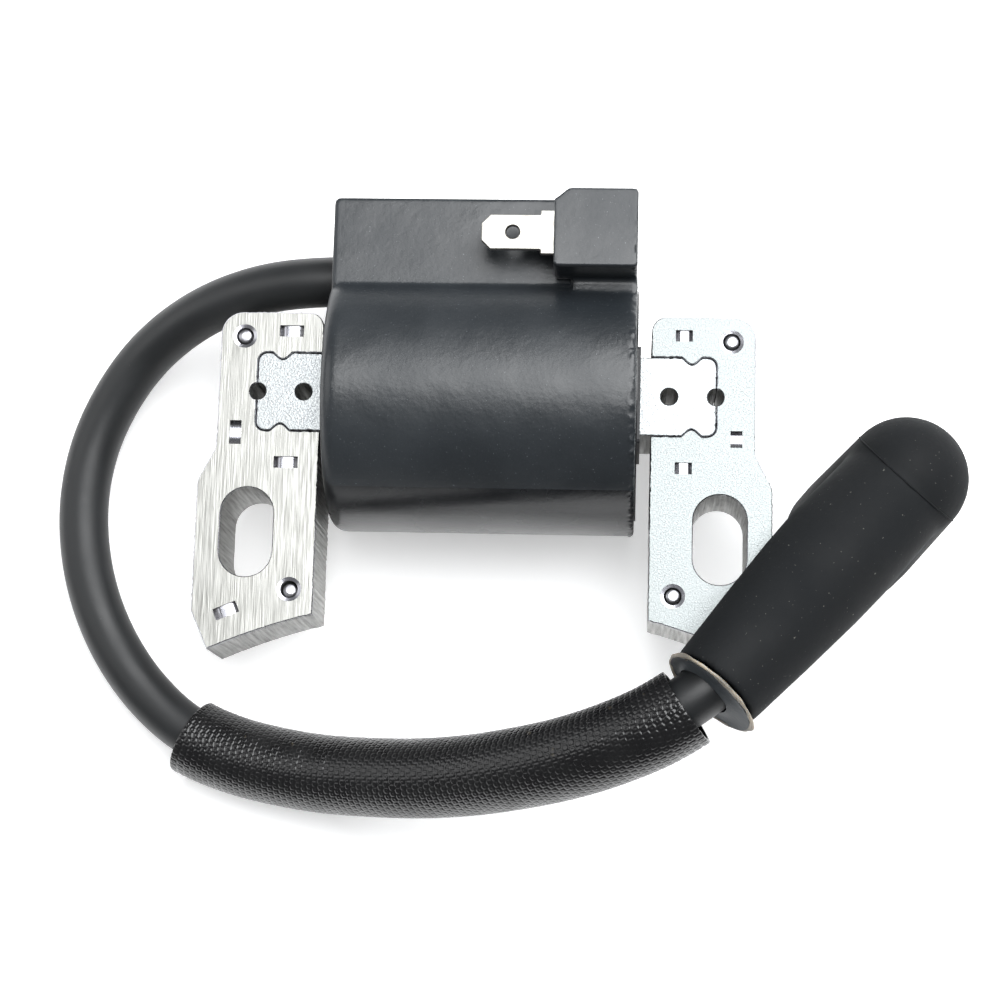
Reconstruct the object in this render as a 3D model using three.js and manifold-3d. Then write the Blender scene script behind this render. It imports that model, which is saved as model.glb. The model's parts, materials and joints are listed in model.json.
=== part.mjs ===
// Ignition coil of a small engine: a laminated core with two mounting legs, a potted winding
// and ignition module in one housing, a high-tension lead, and an elbow boot for the spark plug.
// Millimetres. X runs along the core bar, Y points from the pole faces to the module, Z is up.
// The coil lies on its winding barrel, whose lowest line is at Z = 0.
import * as THREE from "three";
import { mergeVertices } from "three/addons/utils/BufferGeometryUtils.js";
import Module from "manifold-3d";

const wasm = await Module();
wasm.setup();

const GAP = 0.3; // clearance between neighbouring pieces

// Winding barrel and the core that runs through it
const BARREL_RADIUS = 17.85;
const BARREL_LEFT = -21.2;
const BARREL_RIGHT = 20.3;
const BARREL_EDGE = 2;
const WALL = 2;
const AXIS_Y = 4.67;
const AXIS_Z = BARREL_RADIUS;
const STACK = 12.7;
const STACK_BOTTOM = AXIS_Z - STACK / 2;
const STACK_TOP = AXIS_Z + STACK / 2;

const BAR_HALF_LENGTH = 31.05;
const BAR_HALF_WIDTH = 5.35;
const BAR_CORNER = 1.2;
const BAR_HOLE_X = 24.76;
const NOTCH_X = 27.8;
const NOTCH_RADIUS = 0.95;
const CORE_HOLE_RADIUS = 1.15;

// Legs, given for the right one; the left one is its mirror image
const LEG_INNER = 22.35;
const LEG_OUTER = 36.35;
const LEG_WIDE = 38.7;
const LEG_TOP = 15.72;
const LEG_SHOULDER_TOP = -3.23;
const LEG_SHOULDER_BOTTOM = -7.83;
const LEG_CHAMFER = -25.53;
const POLE_RADIUS = 88.2;
const POLE_CENTRE_Y = -111.03;
const POLE_POINTS = 6;
const SLOT_X = 31.75;
const SLOT_Y = -14.73;
const SLOT_WIDTH = 7.2;
const SLOT_LENGTH = 12.2;
const RIVET_RADIUS = 0.95;
const RIVET_PLACES = { upper: [33.1, 12.34], lower: [25.6, -22.43] };
const DIMPLE_DEPTH = 0.8;
const DIMPLE_LENGTH = 3.3;
const DIMPLE_WIDTH = 1.6;
const DIMPLES = [
  { x: 26.7, y: 13.13, turn: 0 },
  { x: 33.83, y: -1.08, turn: 90 },
  { x: 26.78, y: -5.13, turn: 0 },
  { x: 33.97, y: -25.48, turn: -22.5 },
];

// Module block on the barrel's side, and the connector block on top of it
const BLOCK_LEFT = -20.9;
const BLOCK_RIGHT = 20.25;
const BLOCK_OUTER = 30.67;
const BLOCK_HALF_HEIGHT = 11.25;
const BLOCK_TOP = AXIS_Z + BLOCK_HALF_HEIGHT;
const MODULE_LEFT = -6;
const MODULE_RIGHT = 18.2;
const PLUG_LEFT = 9.2;
const PLUG_RIGHT = 20.24;
const PLUG_FRONT = 19.57;
const PLUG_BACK = 29.57;
const PLUG_BOTTOM = 30;
const PLUG_TOP = 36.7;
const PEDESTAL_LEFT = 11.7;
const PEDESTAL_FRONT = 15.17;
const PEDESTAL_DEPTH = 12;

// Spade tab of the stop circuit
const TAB_WIDTH = 4.75;
const TAB_SHOULDER_WIDTH = 6;
const TAB_THICKNESS = 0.8;
const TAB_TIP = -0.5;
const TAB_SHOULDER = 7.35;
const TAB_Y = 24.47;
const TAB_Z = 33.7;
const TAB_HOLE_X = 3.65;
const TAB_HOLE_RADIUS = 0.92;
const TAB_CHAMFER = 1.2;
const TAB_TAIL_X = 14.5;
const TAB_TAIL_WIDTH = 3;
const TAB_TAIL_END = 26.3;
const COIN_DEPTH = 0.05; // the part inside the housing is pressed this much thinner

// Windings
const BOBBIN_HALF_WIDTH = BAR_HALF_WIDTH + GAP + 1;
const BOBBIN_HALF_HEIGHT = STACK / 2 + GAP + 1;
const PRIMARY_BUILD = 1.1;
const SECONDARY_INNER = 12.3;
const SECONDARY_WIRE = 14.2;
const SECONDARY_FLANGE = 14.6;
const SECONDARY_LEFT = -7.2;
const SECONDARY_RIGHT = 17;
const SECTIONS = 3;
const RIB = 0.6;
const PRIMARY_FLANGE = { height: 0.2, thickness: 1.2 };

// Ignition module; X and Z are spans, and deep is how far a part stands off the board
const BOARD = { x: [-5, 17.4], thickness: 1 };
const TRANSISTOR = { x: [-3.5, 3], z: [12, 18.6], deep: 2.3 };
const CAPACITOR = { x: [5, 9], z: [11.5, 14.5], deep: 2.2 };
const RESISTOR = { x: [5, 11.3], z: 18, radius: 1.15 };
const DIODE = { x: [-3, 2.2], z: 21.5, radius: 1.25 };
const STRAP = { width: 4, thickness: 0.5, stand: 0.95, foot: 0.9, contact: 0.05 };

// Lead, sleeve and boot
const LEAD_RADIUS = 3.5;
const LEAD_BORE = 1.1;
const CONDUCTOR_RADIUS = 0.75;
const SLEEVE_RADIUS = 5.45;
const SLEEVE_BORE = 4.8;
const SLEEVE_START = 0.493; // as a share of the lead's length
const SLEEVE_END = 0.845;
const SLEEVE_SAG = [0, -0.6, -0.3]; // the loose sleeve hangs off the lead's centre
const SLEEVE_STEPS = 12;
const SOCKET_RADIUS = 5;
const SOCKET_END = -8.3;
const PIN = { tip: -12.2, shoulder: -11, back: -5.6 };
const LEAD_ROUTE = [
  [-9, 21.9, 17.8],
  [-16.5, 21.9, 17.8],
  [-24.1, 21.9, 17.5],
  [-31.6, 21.3, 16.2],
  [-38.6, 19.7, 13.7],
  [-45, 16.9, 10.6],
  [-50.5, 12.8, 7.6],
  [-54.8, 7.2, 5.5],
  [-57.7, 0.6, 4.3],
  [-58.9, -6.7, 3.8],
  [-58.4, -14.2, 3.8],
  [-56.4, -21.6, 4],
  [-52.9, -28.6, 4.5],
  [-48.1, -34.8, 5.1],
  [-42.1, -39.8, 5.9],
  [-35.7, -42.6, 6.8],
  [-28.9, -44.3, 8.2],
  [-21.9, -45.4, 10.3],
  [-14.9, -45.9, 13.2],
  [-8, -46.1, 16.7],
  [-1.2, -45.8, 20.4],
  [5.4, -45, 24.3],
  [11.8, -43.8, 27.9],
  [17.9, -42, 31],
  [23.8, -39.5, 33.2],
  [29.4, -35.9, 34.3],
  [34.85, -31.05, 33.68],
  [40.6, -24.37, 31.79],
  [45.7, -18.49, 30.14],
  [50.2, -13.29, 28.67],
];
const LEAD_Y = LEAD_ROUTE[0][1];
const JACKET_END = 0.985; // the jacket is cut back from the end of the conductor
const CONDUCTOR_START = 0.024;
const CONDUCTOR_END = 0.999;
const LEAD_STEPS = 34;
const BOOT_CENTRE = [56, -6.6, 26.8];
const BOOT_HEADING = 49.1;
const BOOT_PITCH = 12;
const BOOT_ROLL = 3;
const BOOT_LENGTH = 39.4;
const BOOT_COLLAR_RADIUS = 6.2;
const BOOT_HEAD_RADIUS = 8.1;
const BOOT_BORE = 3.9;
const BOOT_FLARE = 5.6;
const BOOT_FLARE_DEPTH = 9;
const ELBOW_LEAN = 8;
const TUBE_LENGTH = 23.6;
const TUBE_RADIUS = 8.9;
const TUBE_BORE = 5.5;
const SEAL_RADIUS = 6.8;
const SEAL_THICKNESS = 0.6;
const SEAL_HOLE = { radius: 4.1, y: -0.82, z: -0.87 }; // where the bending lead crosses it
const FERRULE = { inner: 1.15, outer: 1.7, start: 4.6, end: 8.2 };
const CLIP = { outer: 3.6, inner: 2.9, start: 3, flange: 4, base: 4.6, end: 12 };

const paint = (color, roughness, metalness) =>
  new THREE.MeshStandardMaterial({ color, roughness, metalness });
const STEEL = paint(0xc9c8c4, 0.35, 0.9);
const ZINC = paint(0xb9bbbd, 0.45, 0.8);
const TIN = paint(0xcfcdc6, 0.3, 0.95);
const BRASS = paint(0xb58f4a, 0.35, 0.95);
const COPPER = paint(0xa8552b, 0.4, 0.8);
const HOUSING = paint(0x14171a, 0.55, 0);
const RESIN = paint(0x101214, 0.7, 0);
const BOBBIN = paint(0x1d2023, 0.6, 0);
const RUBBER = paint(0x17191b, 0.8, 0);
const BRAID = paint(0x0c0d0e, 0.3, 0);
const SILICONE = paint(0xb0a489, 0.5, 0);
const LAMINATE = paint(0x24452f, 0.6, 0);
const PACKAGE = paint(0x1a1b1c, 0.5, 0);
const CERAMIC = paint(0xb8a27a, 0.6, 0);

const radians = THREE.MathUtils.degToRad;

// A closed geometry as a solid that can be cut or joined.
function solid(geometry) {
  const bare = geometry.index ? geometry.toNonIndexed() : geometry.clone();
  bare.deleteAttribute("normal");
  bare.deleteAttribute("uv");
  const merged = mergeVertices(bare, 1e-4);
  return new wasm.Manifold(
    new wasm.Mesh({
      numProp: 3,
      vertProperties: merged.attributes.position.array,
      triVerts: new Uint32Array(merged.index.array),
    }),
  );
}

// A solid back as a geometry.
function shell(body) {
  const mesh = body.getMesh();
  const geometry = new THREE.BufferGeometry();
  geometry.setAttribute("position", new THREE.BufferAttribute(mesh.vertProperties, 3));
  geometry.setIndex(new THREE.BufferAttribute(mesh.triVerts, 1));
  return geometry;
}

function cut(body, ...tools) {
  return tools.reduce((rest, tool) => rest.subtract(tool), body);
}

function join(body, ...others) {
  return others.reduce((whole, other) => whole.add(other), body);
}

function piece(name, geometry, material) {
  const mesh = new THREE.Mesh(geometry, material);
  mesh.name = name;
  return mesh;
}

// An outline with a fillet at each corner; a corner is [x, y, radius].
function rounded(corners, steps = 4) {
  const outline = [];
  corners.forEach(([x, y, radius], i) => {
    const here = new THREE.Vector2(x, y);
    if (!radius) {
      outline.push(here);
      return;
    }
    const [px, py] = corners[(i + corners.length - 1) % corners.length];
    const [nx, ny] = corners[(i + 1) % corners.length];
    const before = new THREE.Vector2(px - x, py - y).normalize();
    const after = new THREE.Vector2(nx - x, ny - y).normalize();
    const half = Math.acos(THREE.MathUtils.clamp(before.dot(after), -1, 1)) / 2;
    const setback = radius / Math.tan(half);
    const start = here.clone().addScaledVector(before, setback);
    const end = here.clone().addScaledVector(after, setback);
    const inward = before.clone().add(after).normalize();
    const centre = here.clone().addScaledVector(inward, radius / Math.sin(half));
    const from = start.clone().sub(centre).angle();
    let turn = end.clone().sub(centre).angle() - from;
    turn -= 2 * Math.PI * Math.round(turn / (2 * Math.PI));
    for (let k = 0; k <= steps; k += 1) {
      const angle = from + (turn * k) / steps;
      const spoke = new THREE.Vector2(Math.cos(angle), Math.sin(angle));
      outline.push(centre.clone().addScaledVector(spoke, radius));
    }
  });
  return new THREE.Shape(outline);
}

function rectangle(x0, y0, x1, y1, radius = 0, steps = 4) {
  return rounded([[x0, y0, radius], [x1, y0, radius], [x1, y1, radius], [x0, y1, radius]], steps);
}

function disc(radius, sides, x = 0, y = 0) {
  const outline = [];
  for (let i = 0; i < sides; i += 1) {
    const angle = (2 * Math.PI * i) / sides;
    outline.push(new THREE.Vector2(x + radius * Math.cos(angle), y + radius * Math.sin(angle)));
  }
  return new THREE.Shape(outline);
}

function ring(outer, inner, sides) {
  const shape = disc(outer, sides);
  shape.holes.push(disc(inner, sides));
  return shape;
}

// A shape in the XY plane, extruded from one height to another.
function slab(shape, bottom, top) {
  const depth = top - bottom;
  return new THREE.ExtrudeGeometry(shape, { depth, bevelEnabled: false }).translate(0, 0, bottom);
}

// A shape drawn in (Y, Z), extruded along X.
function beam(shape, left, right) {
  const geometry = new THREE.ExtrudeGeometry(shape, { depth: right - left, bevelEnabled: false });
  return geometry.rotateY(Math.PI / 2).rotateX(Math.PI / 2).translate(left, 0, 0);
}

function block(x0, x1, y0, y1, z0, z1) {
  const geometry = new THREE.BoxGeometry(x1 - x0, y1 - y0, z1 - z0);
  return geometry.translate((x0 + x1) / 2, (y0 + y1) / 2, (z0 + z1) / 2);
}

// A turned body on a line along X through (y, z); the profile is a list of [radius, x].
function turned(profile, sides, y = AXIS_Y, z = AXIS_Z) {
  const points = profile.map(([radius, x]) => new THREE.Vector2(radius, x));
  return new THREE.LatheGeometry(points, sides).rotateZ(-Math.PI / 2).translate(0, y, z);
}

function rod(radius, left, right, sides, y = AXIS_Y, z = AXIS_Z) {
  return turned([[0, left], [radius, left], [radius, right], [0, right]], sides, y, z);
}

// ---- core -------------------------------------------------------------------------------

// The bar's outline, grown by a clearance; with one, it is the pocket in the legs.
function barOutline(grow) {
  const end = BAR_HALF_LENGTH + grow;
  const side = BAR_HALF_WIDTH + grow;
  const plate = slab(
    rectangle(-end, AXIS_Y - side, end, AXIS_Y + side, BAR_CORNER),
    STACK_BOTTOM - (grow ? 1 : 0),
    STACK_TOP + (grow ? 1 : 0),
  );
  const notches = [-1, 1].flatMap((x) =>
    [-1, 1].map((y) =>
      solid(
        slab(
          disc(NOTCH_RADIUS - grow, 12, x * NOTCH_X, AXIS_Y + y * side),
          STACK_BOTTOM - 2,
          STACK_TOP + 2,
        ),
      ),
    ),
  );
  return cut(solid(plate), ...notches);
}

function coreHole(x) {
  return solid(slab(disc(CORE_HOLE_RADIUS, 16, x, AXIS_Y), STACK_BOTTOM - 1, STACK_TOP + 1));
}

function coreBar() {
  const holes = [-BAR_HALF_LENGTH, -BAR_HOLE_X, BAR_HOLE_X, BAR_HALF_LENGTH].map(coreHole);
  return piece("core_bar", shell(cut(barOutline(0), ...holes)), ZINC);
}

function polePoint(x) {
  return [x, POLE_CENTRE_Y + Math.sqrt(POLE_RADIUS ** 2 - x ** 2), 0];
}

// The right leg's outline; side is 1 for the right leg and -1 for the left one.
function legOutline(side) {
  const pole = [];
  for (let i = 0; i <= POLE_POINTS; i += 1) {
    pole.push(polePoint(LEG_OUTER + ((LEG_INNER - LEG_OUTER) * i) / POLE_POINTS));
  }
  const corners = [
    [LEG_INNER, LEG_TOP, 2],
    [LEG_OUTER, LEG_TOP, 3],
    [LEG_OUTER, LEG_SHOULDER_TOP, 2.5],
    [LEG_WIDE, LEG_SHOULDER_BOTTOM, 3],
    [LEG_WIDE, LEG_CHAMFER, 0],
    ...pole,
  ];
  return rounded(corners.map(([x, y, radius]) => [side * x, y, radius]));
}

function dimple(side, { x, y, turn }) {
  const geometry = block(
    -DIMPLE_LENGTH / 2,
    DIMPLE_LENGTH / 2,
    -DIMPLE_WIDTH / 2,
    DIMPLE_WIDTH / 2,
    -DIMPLE_DEPTH,
    DIMPLE_DEPTH,
  );
  return solid(geometry.rotateZ(radians(side * turn)).translate(side * x, y, STACK_TOP));
}

function leg(name, side) {
  const plate = solid(slab(legOutline(side), STACK_BOTTOM, STACK_TOP));
  const x = side * SLOT_X;
  const slot = rectangle(
    x - SLOT_WIDTH / 2,
    SLOT_Y - SLOT_LENGTH / 2,
    x + SLOT_WIDTH / 2,
    SLOT_Y + SLOT_LENGTH / 2,
    SLOT_WIDTH / 2 - 0.01,
    8,
  );
  const through = (shape) => solid(slab(shape, STACK_BOTTOM - 1, STACK_TOP + 1));
  const rivetHoles = Object.values(RIVET_PLACES).map(([rx, ry]) =>
    through(disc(RIVET_RADIUS + GAP, 16, side * rx, ry)),
  );
  const dimples = DIMPLES.map((place) => dimple(side, place));
  const body = cut(
    plate,
    barOutline(GAP),
    coreHole(side * BAR_HALF_LENGTH),
    through(slot),
    ...rivetHoles,
    ...dimples,
  );
  return piece(name, shell(body), STEEL);
}

function rivet(name, x, y) {
  return piece(name, slab(disc(RIVET_RADIUS, 16, x, y), STACK_BOTTOM, STACK_TOP), ZINC);
}

function rivets() {
  return [["left", -1], ["right", 1]].flatMap(([sideName, side]) =>
    Object.entries(RIVET_PLACES).map(([place, [x, y]]) =>
      rivet(sideName + "_" + place + "_rivet", side * x, y),
    ),
  );
}

// ---- housing ----------------------------------------------------------------------------

function barrel() {
  const profile = [[0, BARREL_LEFT]];
  for (let i = 0; i <= 4; i += 1) {
    const angle = (Math.PI / 2) * (i / 4);
    profile.push([
      BARREL_RADIUS - BARREL_EDGE * (1 - Math.sin(angle)),
      BARREL_LEFT + BARREL_EDGE * (1 - Math.cos(angle)),
    ]);
  }
  profile.push([BARREL_RADIUS, BARREL_RIGHT], [0, BARREL_RIGHT]);
  return solid(turned(profile, 64));
}

function moduleBlock() {
  const bevel = 0.8;
  const shape = rectangle(
    AXIS_Y,
    AXIS_Z - BLOCK_HALF_HEIGHT,
    BLOCK_OUTER,
    BLOCK_TOP,
    1,
  );
  const geometry = new THREE.ExtrudeGeometry(shape, {
    depth: BLOCK_RIGHT - BLOCK_LEFT - 2 * bevel,
    bevelEnabled: true,
    bevelThickness: bevel,
    bevelSize: bevel,
    bevelOffset: -bevel,
    bevelSegments: 2,
  });
  geometry.rotateY(Math.PI / 2).rotateX(Math.PI / 2).translate(BLOCK_LEFT + bevel, 0, 0);
  return solid(geometry);
}

function connector() {
  const foot = rectangle(PEDESTAL_LEFT, PEDESTAL_FRONT, PLUG_RIGHT, PLUG_BACK, 1);
  const head = rounded([
    [PLUG_LEFT, PLUG_FRONT, 0.8],
    [PLUG_RIGHT, PLUG_FRONT, 0.8],
    [PLUG_RIGHT, PLUG_BACK, 0.8],
    [PLUG_LEFT + 1.8, PLUG_BACK, 0.4],
    [PLUG_LEFT, PLUG_BACK - 1.8, 0.4],
  ]);
  return join(
    solid(slab(foot, BLOCK_TOP - PEDESTAL_DEPTH, PLUG_BOTTOM + 0.5)),
    solid(slab(head, PLUG_BOTTOM, PLUG_TOP)),
  );
}

// The tab and its tail, grown by a clearance where they pass through the housing.
function tabCavity() {
  const half = TAB_SHOULDER_WIDTH / 2 + GAP;
  const tail = TAB_TAIL_WIDTH / 2 + GAP;
  const thick = TAB_THICKNESS / 2 + GAP;
  const left = TAB_TAIL_X - thick;
  const right = TAB_TAIL_X + thick;
  const across = block(PLUG_LEFT - 1, right, TAB_Y - half, TAB_Y + half, TAB_Z - thick, TAB_Z + thick);
  const down = block(left, right, TAB_Y - tail, TAB_Y + tail, TAB_TAIL_END - 1, TAB_Z);
  return join(solid(across), solid(down));
}

function housing() {
  const innerRadius = BARREL_RADIUS - WALL;
  const winding = solid(rod(innerRadius, BARREL_LEFT + WALL, BARREL_RIGHT + 1, 64));
  const moduleRoom = solid(
    block(
      MODULE_LEFT,
      MODULE_RIGHT,
      AXIS_Y + 8,
      BLOCK_OUTER - WALL,
      AXIS_Z - BLOCK_HALF_HEIGHT + WALL,
      BLOCK_TOP - WALL,
    ),
  );
  const socket = solid(rod(SOCKET_RADIUS, BLOCK_LEFT + 1, SOCKET_END + 0.8, 24, LEAD_Y));
  const leadHole = solid(rod(LEAD_RADIUS + GAP, BARREL_LEFT - 1, SOCKET_END, 24, LEAD_Y));
  const pinHole = solid(rod(CONDUCTOR_RADIUS + GAP, SOCKET_END - 1, PIN.back + 0.6, 12, LEAD_Y));
  const coreWindow = solid(
    beam(
      rectangle(
        AXIS_Y - BOBBIN_HALF_WIDTH - GAP,
        AXIS_Z - BOBBIN_HALF_HEIGHT - GAP,
        AXIS_Y + BOBBIN_HALF_WIDTH + GAP,
        AXIS_Z + BOBBIN_HALF_HEIGHT + GAP,
      ),
      BARREL_LEFT - 1,
      BARREL_LEFT + WALL + 1,
    ),
  );
  const hollow = cut(join(barrel(), moduleBlock(), connector()), winding, moduleRoom);
  const body = cut(join(hollow, socket), leadHole, pinHole, coreWindow, tabCavity());
  return piece("housing", shell(body), HOUSING);
}

// Resin around the windings: a cup that is open to the left and closes the barrel's right end.
function potting() {
  const outer = BARREL_RADIUS - WALL - GAP;
  const left = BARREL_LEFT + WALL + GAP;
  const right = BARREL_RIGHT - 0.4;
  const profile = [
    [outer, left],
    [outer, right],
    [0, right],
    [0, SECONDARY_RIGHT + GAP],
    [SECONDARY_FLANGE + GAP, SECONDARY_RIGHT + GAP],
    [SECONDARY_FLANGE + GAP, SECONDARY_LEFT - GAP],
    [SECONDARY_INNER, SECONDARY_LEFT - GAP],
    [SECONDARY_INNER, left],
    [outer, left],
  ];
  const bobbinHole = solid(
    beam(
      rectangle(
        AXIS_Y - BOBBIN_HALF_WIDTH - GAP,
        AXIS_Z - BOBBIN_HALF_HEIGHT - GAP,
        AXIS_Y + BOBBIN_HALF_WIDTH + GAP,
        AXIS_Z + BOBBIN_HALF_HEIGHT + GAP,
      ),
      SECONDARY_RIGHT - 2,
      BARREL_RIGHT + 1,
    ),
  );
  const socketRoom = solid(
    rod(SOCKET_RADIUS + GAP, BARREL_LEFT, SOCKET_END + 0.8 + GAP, 24, LEAD_Y),
  );
  const strapRoom = solid(
    block(
      SECONDARY_RIGHT - 2,
      BARREL_RIGHT + 1,
      AXIS_Y - STRAP.width / 2 - GAP,
      AXIS_Y + STRAP.width / 2 + GAP,
      AXIS_Z - BOBBIN_HALF_HEIGHT - 1.5,
      AXIS_Z - BOBBIN_HALF_HEIGHT,
    ),
  );
  const body = cut(solid(turned(profile, 48)), bobbinHole, socketRoom, strapRoom);
  return piece("potting", shell(body), RESIN);
}

function primaryBobbin() {
  const tube = (halfWidth, halfHeight, left, right) =>
    solid(
      beam(
        rectangle(
          AXIS_Y - halfWidth,
          AXIS_Z - halfHeight,
          AXIS_Y + halfWidth,
          AXIS_Z + halfHeight,
          0.5,
          2,
        ),
        left,
        right,
      ),
    );
  const reach = BARREL_RIGHT + 0.6;
  const bore = tube(BAR_HALF_WIDTH + GAP, STACK / 2 + GAP, -reach - 2, reach + 2);
  const core = tube(BOBBIN_HALF_WIDTH, BOBBIN_HALF_HEIGHT, BARREL_LEFT, reach);
  const { height, thickness } = PRIMARY_FLANGE;
  const flangeWidth = BOBBIN_HALF_WIDTH + PRIMARY_BUILD + height;
  const flangeHeight = BOBBIN_HALF_HEIGHT + PRIMARY_BUILD + height;
  const flanges = [BARREL_LEFT + WALL + GAP, SECONDARY_RIGHT - 1.5].map((x) =>
    tube(flangeWidth, flangeHeight, x, x + thickness),
  );
  return piece("primary_bobbin", shell(cut(join(core, ...flanges), bore)), BOBBIN);
}

function primaryWinding() {
  const shape = rectangle(
    AXIS_Y - BOBBIN_HALF_WIDTH - PRIMARY_BUILD,
    AXIS_Z - BOBBIN_HALF_HEIGHT - PRIMARY_BUILD,
    AXIS_Y + BOBBIN_HALF_WIDTH + PRIMARY_BUILD,
    AXIS_Z + BOBBIN_HALF_HEIGHT + PRIMARY_BUILD,
    1.4,
    3,
  );
  const inner = rectangle(
    AXIS_Y - BOBBIN_HALF_WIDTH - 0.1,
    AXIS_Z - BOBBIN_HALF_HEIGHT - 0.1,
    AXIS_Y + BOBBIN_HALF_WIDTH + 0.1,
    AXIS_Z + BOBBIN_HALF_HEIGHT + 0.1,
  );
  shape.holes.push(new THREE.Path(inner.getPoints()));
  const left = BARREL_LEFT + WALL + 1.8;
  return piece("primary_winding", beam(shape, left, SECONDARY_RIGHT - 1.8), COPPER);
}

function secondaryBobbin() {
  const core = SECONDARY_INNER + 0.7;
  const profile = [[SECONDARY_INNER, SECONDARY_LEFT]];
  profile.push([SECONDARY_FLANGE, SECONDARY_LEFT]);
  const length = SECONDARY_RIGHT - SECONDARY_LEFT;
  for (let i = 0; i < SECTIONS; i += 1) {
    const start = SECONDARY_LEFT + ((length - RIB) * i) / SECTIONS + RIB;
    const end = SECONDARY_LEFT + ((length - RIB) * (i + 1)) / SECTIONS;
    profile.push([SECONDARY_FLANGE, start], [core, start], [core, end], [SECONDARY_FLANGE, end]);
  }
  profile.push([SECONDARY_FLANGE, SECONDARY_RIGHT], [SECONDARY_INNER, SECONDARY_RIGHT]);
  profile.push(profile[0]);
  return piece("secondary_bobbin", turned(profile, 32), BOBBIN);
}

function secondaryWinding(index) {
  const inner = SECONDARY_INNER + 0.9;
  const pitch = (SECONDARY_RIGHT - SECONDARY_LEFT - RIB) / SECTIONS;
  const left = SECONDARY_LEFT + pitch * index + RIB + 0.15;
  const right = SECONDARY_LEFT + pitch * (index + 1) - 0.15;
  const profile = [
    [inner, left],
    [SECONDARY_WIRE, left],
    [SECONDARY_WIRE, right],
    [inner, right],
    [inner, left],
  ];
  return piece("secondary_winding_" + (index + 1), turned(profile, 32), COPPER);
}

// ---- ignition module --------------------------------------------------------------------

function ignitionModule() {
  const inner = BLOCK_OUTER - WALL - 1.5;
  const low = AXIS_Z - BLOCK_HALF_HEIGHT + WALL + 0.5;
  const high = BLOCK_TOP - WALL - 0.5;
  const face = inner - 0.2;
  const box = ({ x, z, deep }) => block(...x, face - deep, face, ...z);
  const round = ({ x, z, radius }) => rod(radius, ...x, 12, face - radius - 0.05, z);
  return [
    piece("circuit_board", block(...BOARD.x, inner, inner + BOARD.thickness, low, high), LAMINATE),
    piece("switching_transistor", box(TRANSISTOR), PACKAGE),
    piece("filter_capacitor", box(CAPACITOR), CERAMIC),
    piece("bias_resistor", round(RESISTOR), CERAMIC),
    piece("clamp_diode", round(DIODE), PACKAGE),
  ];
}

// A bent strip that leads from the module's side of the winding to the underside of the bar.
function groundStrap() {
  const { width, thickness, stand, foot, contact } = STRAP;
  const start = SECONDARY_RIGHT + 0.5;
  const top = AXIS_Z - BOBBIN_HALF_HEIGHT - GAP;
  const turnX = BARREL_RIGHT + stand;
  const touch = STACK_BOTTOM - contact;
  const shape = new THREE.Shape(
    [
      [start, top - thickness],
      [turnX + thickness, top - thickness],
      [turnX + thickness, touch - thickness],
      [turnX + foot, touch - thickness],
      [turnX + foot, touch],
      [turnX, touch],
      [turnX, top],
      [start, top],
    ].map(([x, z]) => new THREE.Vector2(x, z)),
  );
  const geometry = new THREE.ExtrudeGeometry(shape, { depth: width, bevelEnabled: false });
  geometry.rotateX(Math.PI / 2).translate(0, AXIS_Y + width / 2, 0);
  return piece("ground_strap", geometry, BRASS);
}

function stopTerminal() {
  const half = TAB_WIDTH / 2;
  const shoulder = TAB_SHOULDER_WIDTH / 2;
  const top = TAB_Z + TAB_THICKNESS / 2;
  const blade = new THREE.Shape(
    [
      [TAB_TIP + TAB_CHAMFER, -half],
      [TAB_SHOULDER, -half],
      [TAB_SHOULDER, -shoulder],
      [TAB_TAIL_X + TAB_THICKNESS / 2, -shoulder],
      [TAB_TAIL_X + TAB_THICKNESS / 2, shoulder],
      [TAB_SHOULDER, shoulder],
      [TAB_SHOULDER, half],
      [TAB_TIP + TAB_CHAMFER, half],
      [TAB_TIP, half - TAB_CHAMFER],
      [TAB_TIP, TAB_CHAMFER - half],
    ].map(([x, y]) => new THREE.Vector2(x, TAB_Y + y)),
  );
  blade.holes.push(disc(TAB_HOLE_RADIUS, 16, TAB_HOLE_X, TAB_Y));
  const tail = block(
    TAB_TAIL_X - TAB_THICKNESS / 2,
    TAB_TAIL_X + TAB_THICKNESS / 2,
    TAB_Y - TAB_TAIL_WIDTH / 2,
    TAB_Y + TAB_TAIL_WIDTH / 2,
    TAB_TAIL_END,
    TAB_Z,
  );
  const coined = block(
    PLUG_LEFT - GAP,
    TAB_TAIL_X + TAB_THICKNESS,
    TAB_Y - TAB_SHOULDER_WIDTH,
    TAB_Y + TAB_SHOULDER_WIDTH,
    top - COIN_DEPTH,
    top + 1,
  );
  const body = join(solid(slab(blade, top - TAB_THICKNESS, top)), solid(tail));
  return piece("stop_terminal", shell(cut(body, solid(coined))), TIN);
}

// ---- lead -------------------------------------------------------------------------------

const leadCurve = new THREE.CatmullRomCurve3(
  LEAD_ROUTE.map((point) => new THREE.Vector3(...point)),
  false,
  "centripetal",
);

// The part of a curve between two fractions of its length.
class Stretch extends THREE.Curve {
  constructor(curve, from, to) {
    super();
    this.curve = curve;
    this.from = from;
    this.to = to;
  }

  getPoint(t, target = new THREE.Vector3()) {
    return this.curve.getPointAt(this.from + (this.to - this.from) * t, target);
  }
}

function tubeAlong(name, section, curve, steps, material) {
  const geometry = new THREE.ExtrudeGeometry(section, { steps, extrudePath: curve });
  return piece(name, geometry, material);
}

function highTensionPin() {
  const { tip, shoulder, back } = PIN;
  const radius = CONDUCTOR_RADIUS;
  const profile = [[0, tip], [radius, shoulder], [radius, back], [0, back]];
  return piece("high_tension_pin", turned(profile, 12, LEAD_Y), BRASS);
}

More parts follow.
